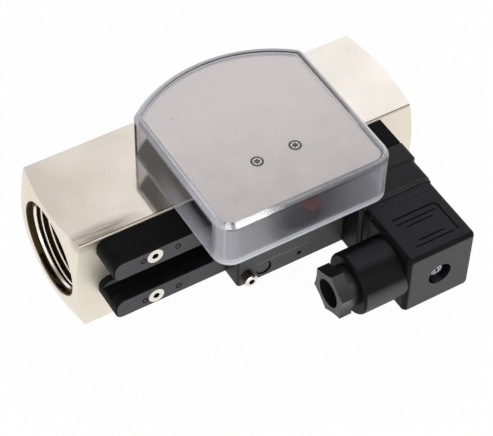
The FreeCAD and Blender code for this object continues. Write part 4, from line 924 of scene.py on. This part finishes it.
# Each bar's place in Y and its ends in X, in millimetres.
BARS = [(-61.85, 29.6, 44.5), (-63.85, 32.2, 42.0), (-70.4, 32.2, 42.0), (-72.4, 29.6, 44.5)]
BAR_WIDTH = 0.5 * MM
BAR_PROUD = 0.1 * MM
LINE_START = Vector((29.1 * MM, -59.5 * MM, PLUG_TOP_Z))
LINE_CORNER_RADIUS = 1.9 * MM
LINE_BACK_RUN = 15.15 * MM
LINE_SIDE_RUN = 11.1 * MM


def drawn_out(mesh, face, run):
    """Pulls an end face along a run and returns the new end face."""
    pulled = bmesh.ops.extrude_face_region(mesh, geom=[face])["geom"]
    bmesh.ops.translate(mesh, verts=of_kind(pulled, bmesh.types.BMVert), vec=run)
    return of_kind(pulled, bmesh.types.BMFace)[0]


plug_marks = bmesh.new()
for bar_y, low_x, high_x in BARS:
    bar_ends = [Vector((x * MM, bar_y * MM, PLUG_TOP_Z)) for x in (low_x, high_x)]
    bead(plug_marks, *bar_ends, BAR_WIDTH, BAR_PROUD, Matrix.Identity(4))
outward(plug_marks)
placed("plug_top_bars", plug_marks, "plug", "connector_nylon", dark_nylon_and_shade)

plug_line = bmesh.new()
half = BAR_WIDTH / 2
corners = [(0, -half, -BAR_PROUD), (0, half, -BAR_PROUD), (0, half, BAR_PROUD), (0, -half, BAR_PROUD)]
section = plug_line.faces.new([plug_line.verts.new(LINE_START + Vector(corner)) for corner in corners])
section = drawn_out(plug_line, section, Vector((LINE_BACK_RUN, 0, 0)))
corner_centre = LINE_START + Vector((LINE_BACK_RUN, -LINE_CORNER_RADIUS, 0))
bend = bmesh.ops.spin(
    plug_line, geom=[section], cent=corner_centre, axis=(0, 0, -1), angle=math.radians(90), steps=8
)
section = of_kind(bend["geom_last"], bmesh.types.BMFace)[0]
drawn_out(plug_line, section, Vector((0, -LINE_SIDE_RUN, 0)))
outward(plug_line)
placed("plug_top_line", plug_line, "plug", "connector_nylon", dark_nylon_and_shade)

# Gland nut: moulded in the same nylon in a polished mould, so that it is darker and has more shine. It
# screws on the plug's collar and presses the gland's seal together.

dress(dull_finish("smooth_moulded_nylon", "#1A1A1B", "#131314", 0.35, 0.7, 0.02, 0.4), "gland_nut")

# Terminal screws and plug screw: zinc plated steel, bluish white, with a slot and a cross recess. The
# first clamp wires in the terminal block, and the other holds the plug on its socket.

screw_zinc = metal_finish("bright_zinc_plated_steel", "#E9F0F7", "#CBD6E1", 0.45, 0.5)
dress(screw_zinc, "terminal_screws")

PLUG_SCREW_PLACE = Vector((37.3 * MM, -75.15 * MM, 25.8 * MM))
PLUG_SCREW_FACE = 1.9 * MM
PLUG_SCREW_HEAD = 2.9 * MM
PLUG_SCREW_HEAD_LENGTH = 2.4 * MM
# Radius and drop of each step of the head's rounded crown, in millimetres.
PLUG_SCREW_CROWN = [(2.5, 0.3), (2.9, 0.55)]
PLUG_SCREW_SHANK = 1.45 * MM
PLUG_SCREW_LENGTH = 31.65 * MM
PLUG_DRIVE_RADIUS = 1.75 * MM
PLUG_DRIVE_DEPTH = 1.1 * MM
PLUG_DRIVE_TURN = math.radians(25)
SHORT_ARM = 0.6
ARM_HALF_WIDTH = 0.16


def slotted_cross(turn):
    """Edge of a cross recess with a longer slot, as a share of the slot's half length."""
    along = max(abs(math.cos(turn)), 0.001)
    across = max(abs(math.sin(turn)), 0.001)
    long_arm = min(1.0 / along, ARM_HALF_WIDTH / across)
    short_arm = min(SHORT_ARM / across, ARM_HALF_WIDTH / along)
    return max(long_arm, short_arm)


plug_screw = bmesh.new()
ring = driven_disc(plug_screw, PLUG_SCREW_FACE, PLUG_DRIVE_RADIUS, PLUG_DRIVE_DEPTH, slotted_cross)
crown_radius, crown_depth = PLUG_SCREW_FACE, 0
for radius, drop in PLUG_SCREW_CROWN:
    ring = grow_down(plug_screw, ring, radius * MM / crown_radius, drop * MM)
    crown_radius, crown_depth = radius * MM, crown_depth + drop * MM
ring = grow_down(plug_screw, ring, 1.0, PLUG_SCREW_HEAD_LENGTH - crown_depth)
ring = grow_down(plug_screw, ring, PLUG_SCREW_SHANK / PLUG_SCREW_HEAD, 0)
ring = grow_down(plug_screw, ring, 1.0, PLUG_SCREW_LENGTH - PLUG_SCREW_HEAD_LENGTH)
closed(plug_screw, ring)
drive_turn = Matrix.Rotation(PLUG_DRIVE_TURN, 4, "Z")
plug_screw_place = Matrix.Translation(PLUG_SCREW_PLACE) @ TO_FRONT @ drive_turn
bmesh.ops.transform(plug_screw, verts=plug_screw.verts[:], matrix=plug_screw_place)
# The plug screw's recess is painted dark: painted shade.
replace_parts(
    placed("cross_slotted_plug_screw", plug_screw, "plug_screw", "screw_zinc", screw_zinc, recess_shade),
    "plug_screw",
)

# Studio: a plain pale floor that keeps a soft shadow, a white tent with a dark card that only mirrored
# and transmitted rays meet, soft boxes, and a camera at the photograph's angle.

FLOOR_HALF = 2.5
FLOOR_Z = -0.2 * MM
WHITE = linear("#FFFFFF")
PAPER_GLOW = 0.97
TENT_STRENGTH = 0.75
DARK_CARD_WAY = (-0.35, 0.555, 0.755)
DARK_CARD_EDGE = (0.8, 0.95)
DARK_CARD_STRENGTH = 0.3

floor_mesh = bmesh.new()
bmesh.ops.create_grid(floor_mesh, x_segments=1, y_segments=1, size=FLOOR_HALF)
bmesh.ops.translate(floor_mesh, verts=floor_mesh.verts[:], vec=(0, 0, FLOOR_Z))
floor_data = bpy.data.meshes.new("floor")
floor_mesh.to_mesh(floor_data)
floor_mesh.free()
floor = bpy.data.objects.new("floor", floor_data)
bpy.context.scene.collection.objects.link(floor)


def seen_rays(tree_owner):
    """1 for rays from the camera and for those that metal or glass sends on."""
    rays = add(tree_owner, "LightPath")
    mirrored = add(tree_owner, "Math", None, {
        0: rays.outputs["Is Camera Ray"], 1: rays.outputs["Is Glossy Ray"],
    }, operation="MAXIMUM")
    return add(tree_owner, "Math", None, {
        0: mirrored, 1: rays.outputs["Is Transmission Ray"],
    }, operation="MAXIMUM")


paper = new_finish("white_paper_sweep")
paper_shade = add(paper, "BsdfDiffuse", {"Color": linear("#F4F4F4")})
paper_white = add(paper, "Emission", {"Color": WHITE, "Strength": 1.0})
paper_share = add(paper, "Math", {1: PAPER_GLOW}, {0: seen_rays(paper)}, operation="MULTIPLY")
show(paper, add(paper, "MixShader", None, {0: paper_share, 1: paper_shade, 2: paper_white}))
floor_data.materials.append(paper)

studio = bpy.data.worlds.new("white_tent")
studio.use_nodes = True
studio.node_tree.nodes.clear()
tent_light = add(studio, "Background", {"Color": WHITE, "Strength": TENT_STRENGTH})
tent_way = add(studio, "TexCoord").outputs["Generated"]
tent_turn = add(studio, "VectorMath", {1: DARK_CARD_WAY}, {0: tent_way}, operation="DOT_PRODUCT")
tent_card = add(studio, "MapRange", {
    "From Min": DARK_CARD_EDGE[0], "From Max": DARK_CARD_EDGE[1], "To Min": 1.0, "To Max": DARK_CARD_STRENGTH,
}, {"Value": tent_turn.outputs["Value"]})
tent_strength = add(studio, "Math", None, {
    0: tent_card, 1: add(studio, "LightPath").outputs["Is Camera Ray"],
}, operation="MAXIMUM")
tent_seen = add(studio, "Background", {"Color": WHITE}, {"Strength": tent_strength})
tent = add(studio, "MixShader", None, {0: seen_rays(studio), 1: tent_light, 2: tent_seen})
add(studio, "OutputWorld", links={"Surface": tent})
bpy.context.scene.world = studio


def soft_box(name, place, aim, width, height, power):
    """Area lamp pointed at a place on the object."""
    lamp = bpy.data.lights.new(name, "AREA")
    lamp.shape = "RECTANGLE"
    lamp.size = width
    lamp.size_y = height
    lamp.energy = power
    holder = bpy.data.objects.new(name, lamp)
    holder.location = place
    holder.rotation_euler = (Vector(aim) - Vector(place)).to_track_quat("-Z", "Y").to_euler()
    bpy.context.scene.collection.objects.link(holder)


soft_box("front_soft_box", (-0.35, -0.95, 0.25), (0, 0, 0.03), 1.2, 0.4, 2.0)
soft_box("rim_soft_box", (0.06, -0.84, 0.63), (0, -0.04, 0.05), 0.6, 0.1, 1.4)
soft_box("corner_soft_box", (-0.5, -0.62, 0.66), (0, -0.04, 0.05), 0.5, 0.1, 0.7)

# Light that runs on inside the clear hood needs many turns before it comes out.
bpy.context.scene.cycles.max_bounces = 24
bpy.context.scene.cycles.glossy_bounces = 16
bpy.context.scene.cycles.transmission_bounces = 24

AZIMUTH = math.radians(-32.184)
ELEVATION = math.radians(49.019)
ROLL = math.radians(-1.675)
DISTANCE = 602.36 * MM
TARGET = Vector((-1.945, -21.032, 20.0)) * MM
SENSOR_WIDTH = 36
LENS_LENGTH = 131.02

back = Vector((
    math.sin(AZIMUTH) * math.cos(ELEVATION), -math.cos(AZIMUTH) * math.cos(ELEVATION), math.sin(ELEVATION),
))
level = (-back).cross(Vector((0, 0, 1))).normalized()
plumb = (-back).cross(level)
right = level * math.cos(ROLL) + plumb * math.sin(ROLL)
down = plumb * math.cos(ROLL) - level * math.sin(ROLL)
lens = bpy.data.cameras.new("camera")
lens.sensor_width = SENSOR_WIDTH
lens.lens = LENS_LENGTH
camera = bpy.data.objects.new("camera", lens)
camera_turn = Matrix((right, -down, back)).transposed().to_4x4()
camera.matrix_world = Matrix.Translation(TARGET + back * DISTANCE) @ camera_turn
bpy.context.scene.collection.objects.link(camera)
bpy.context.scene.camera = camera
bpy.context.scene.view_settings.view_transform = "Standard"
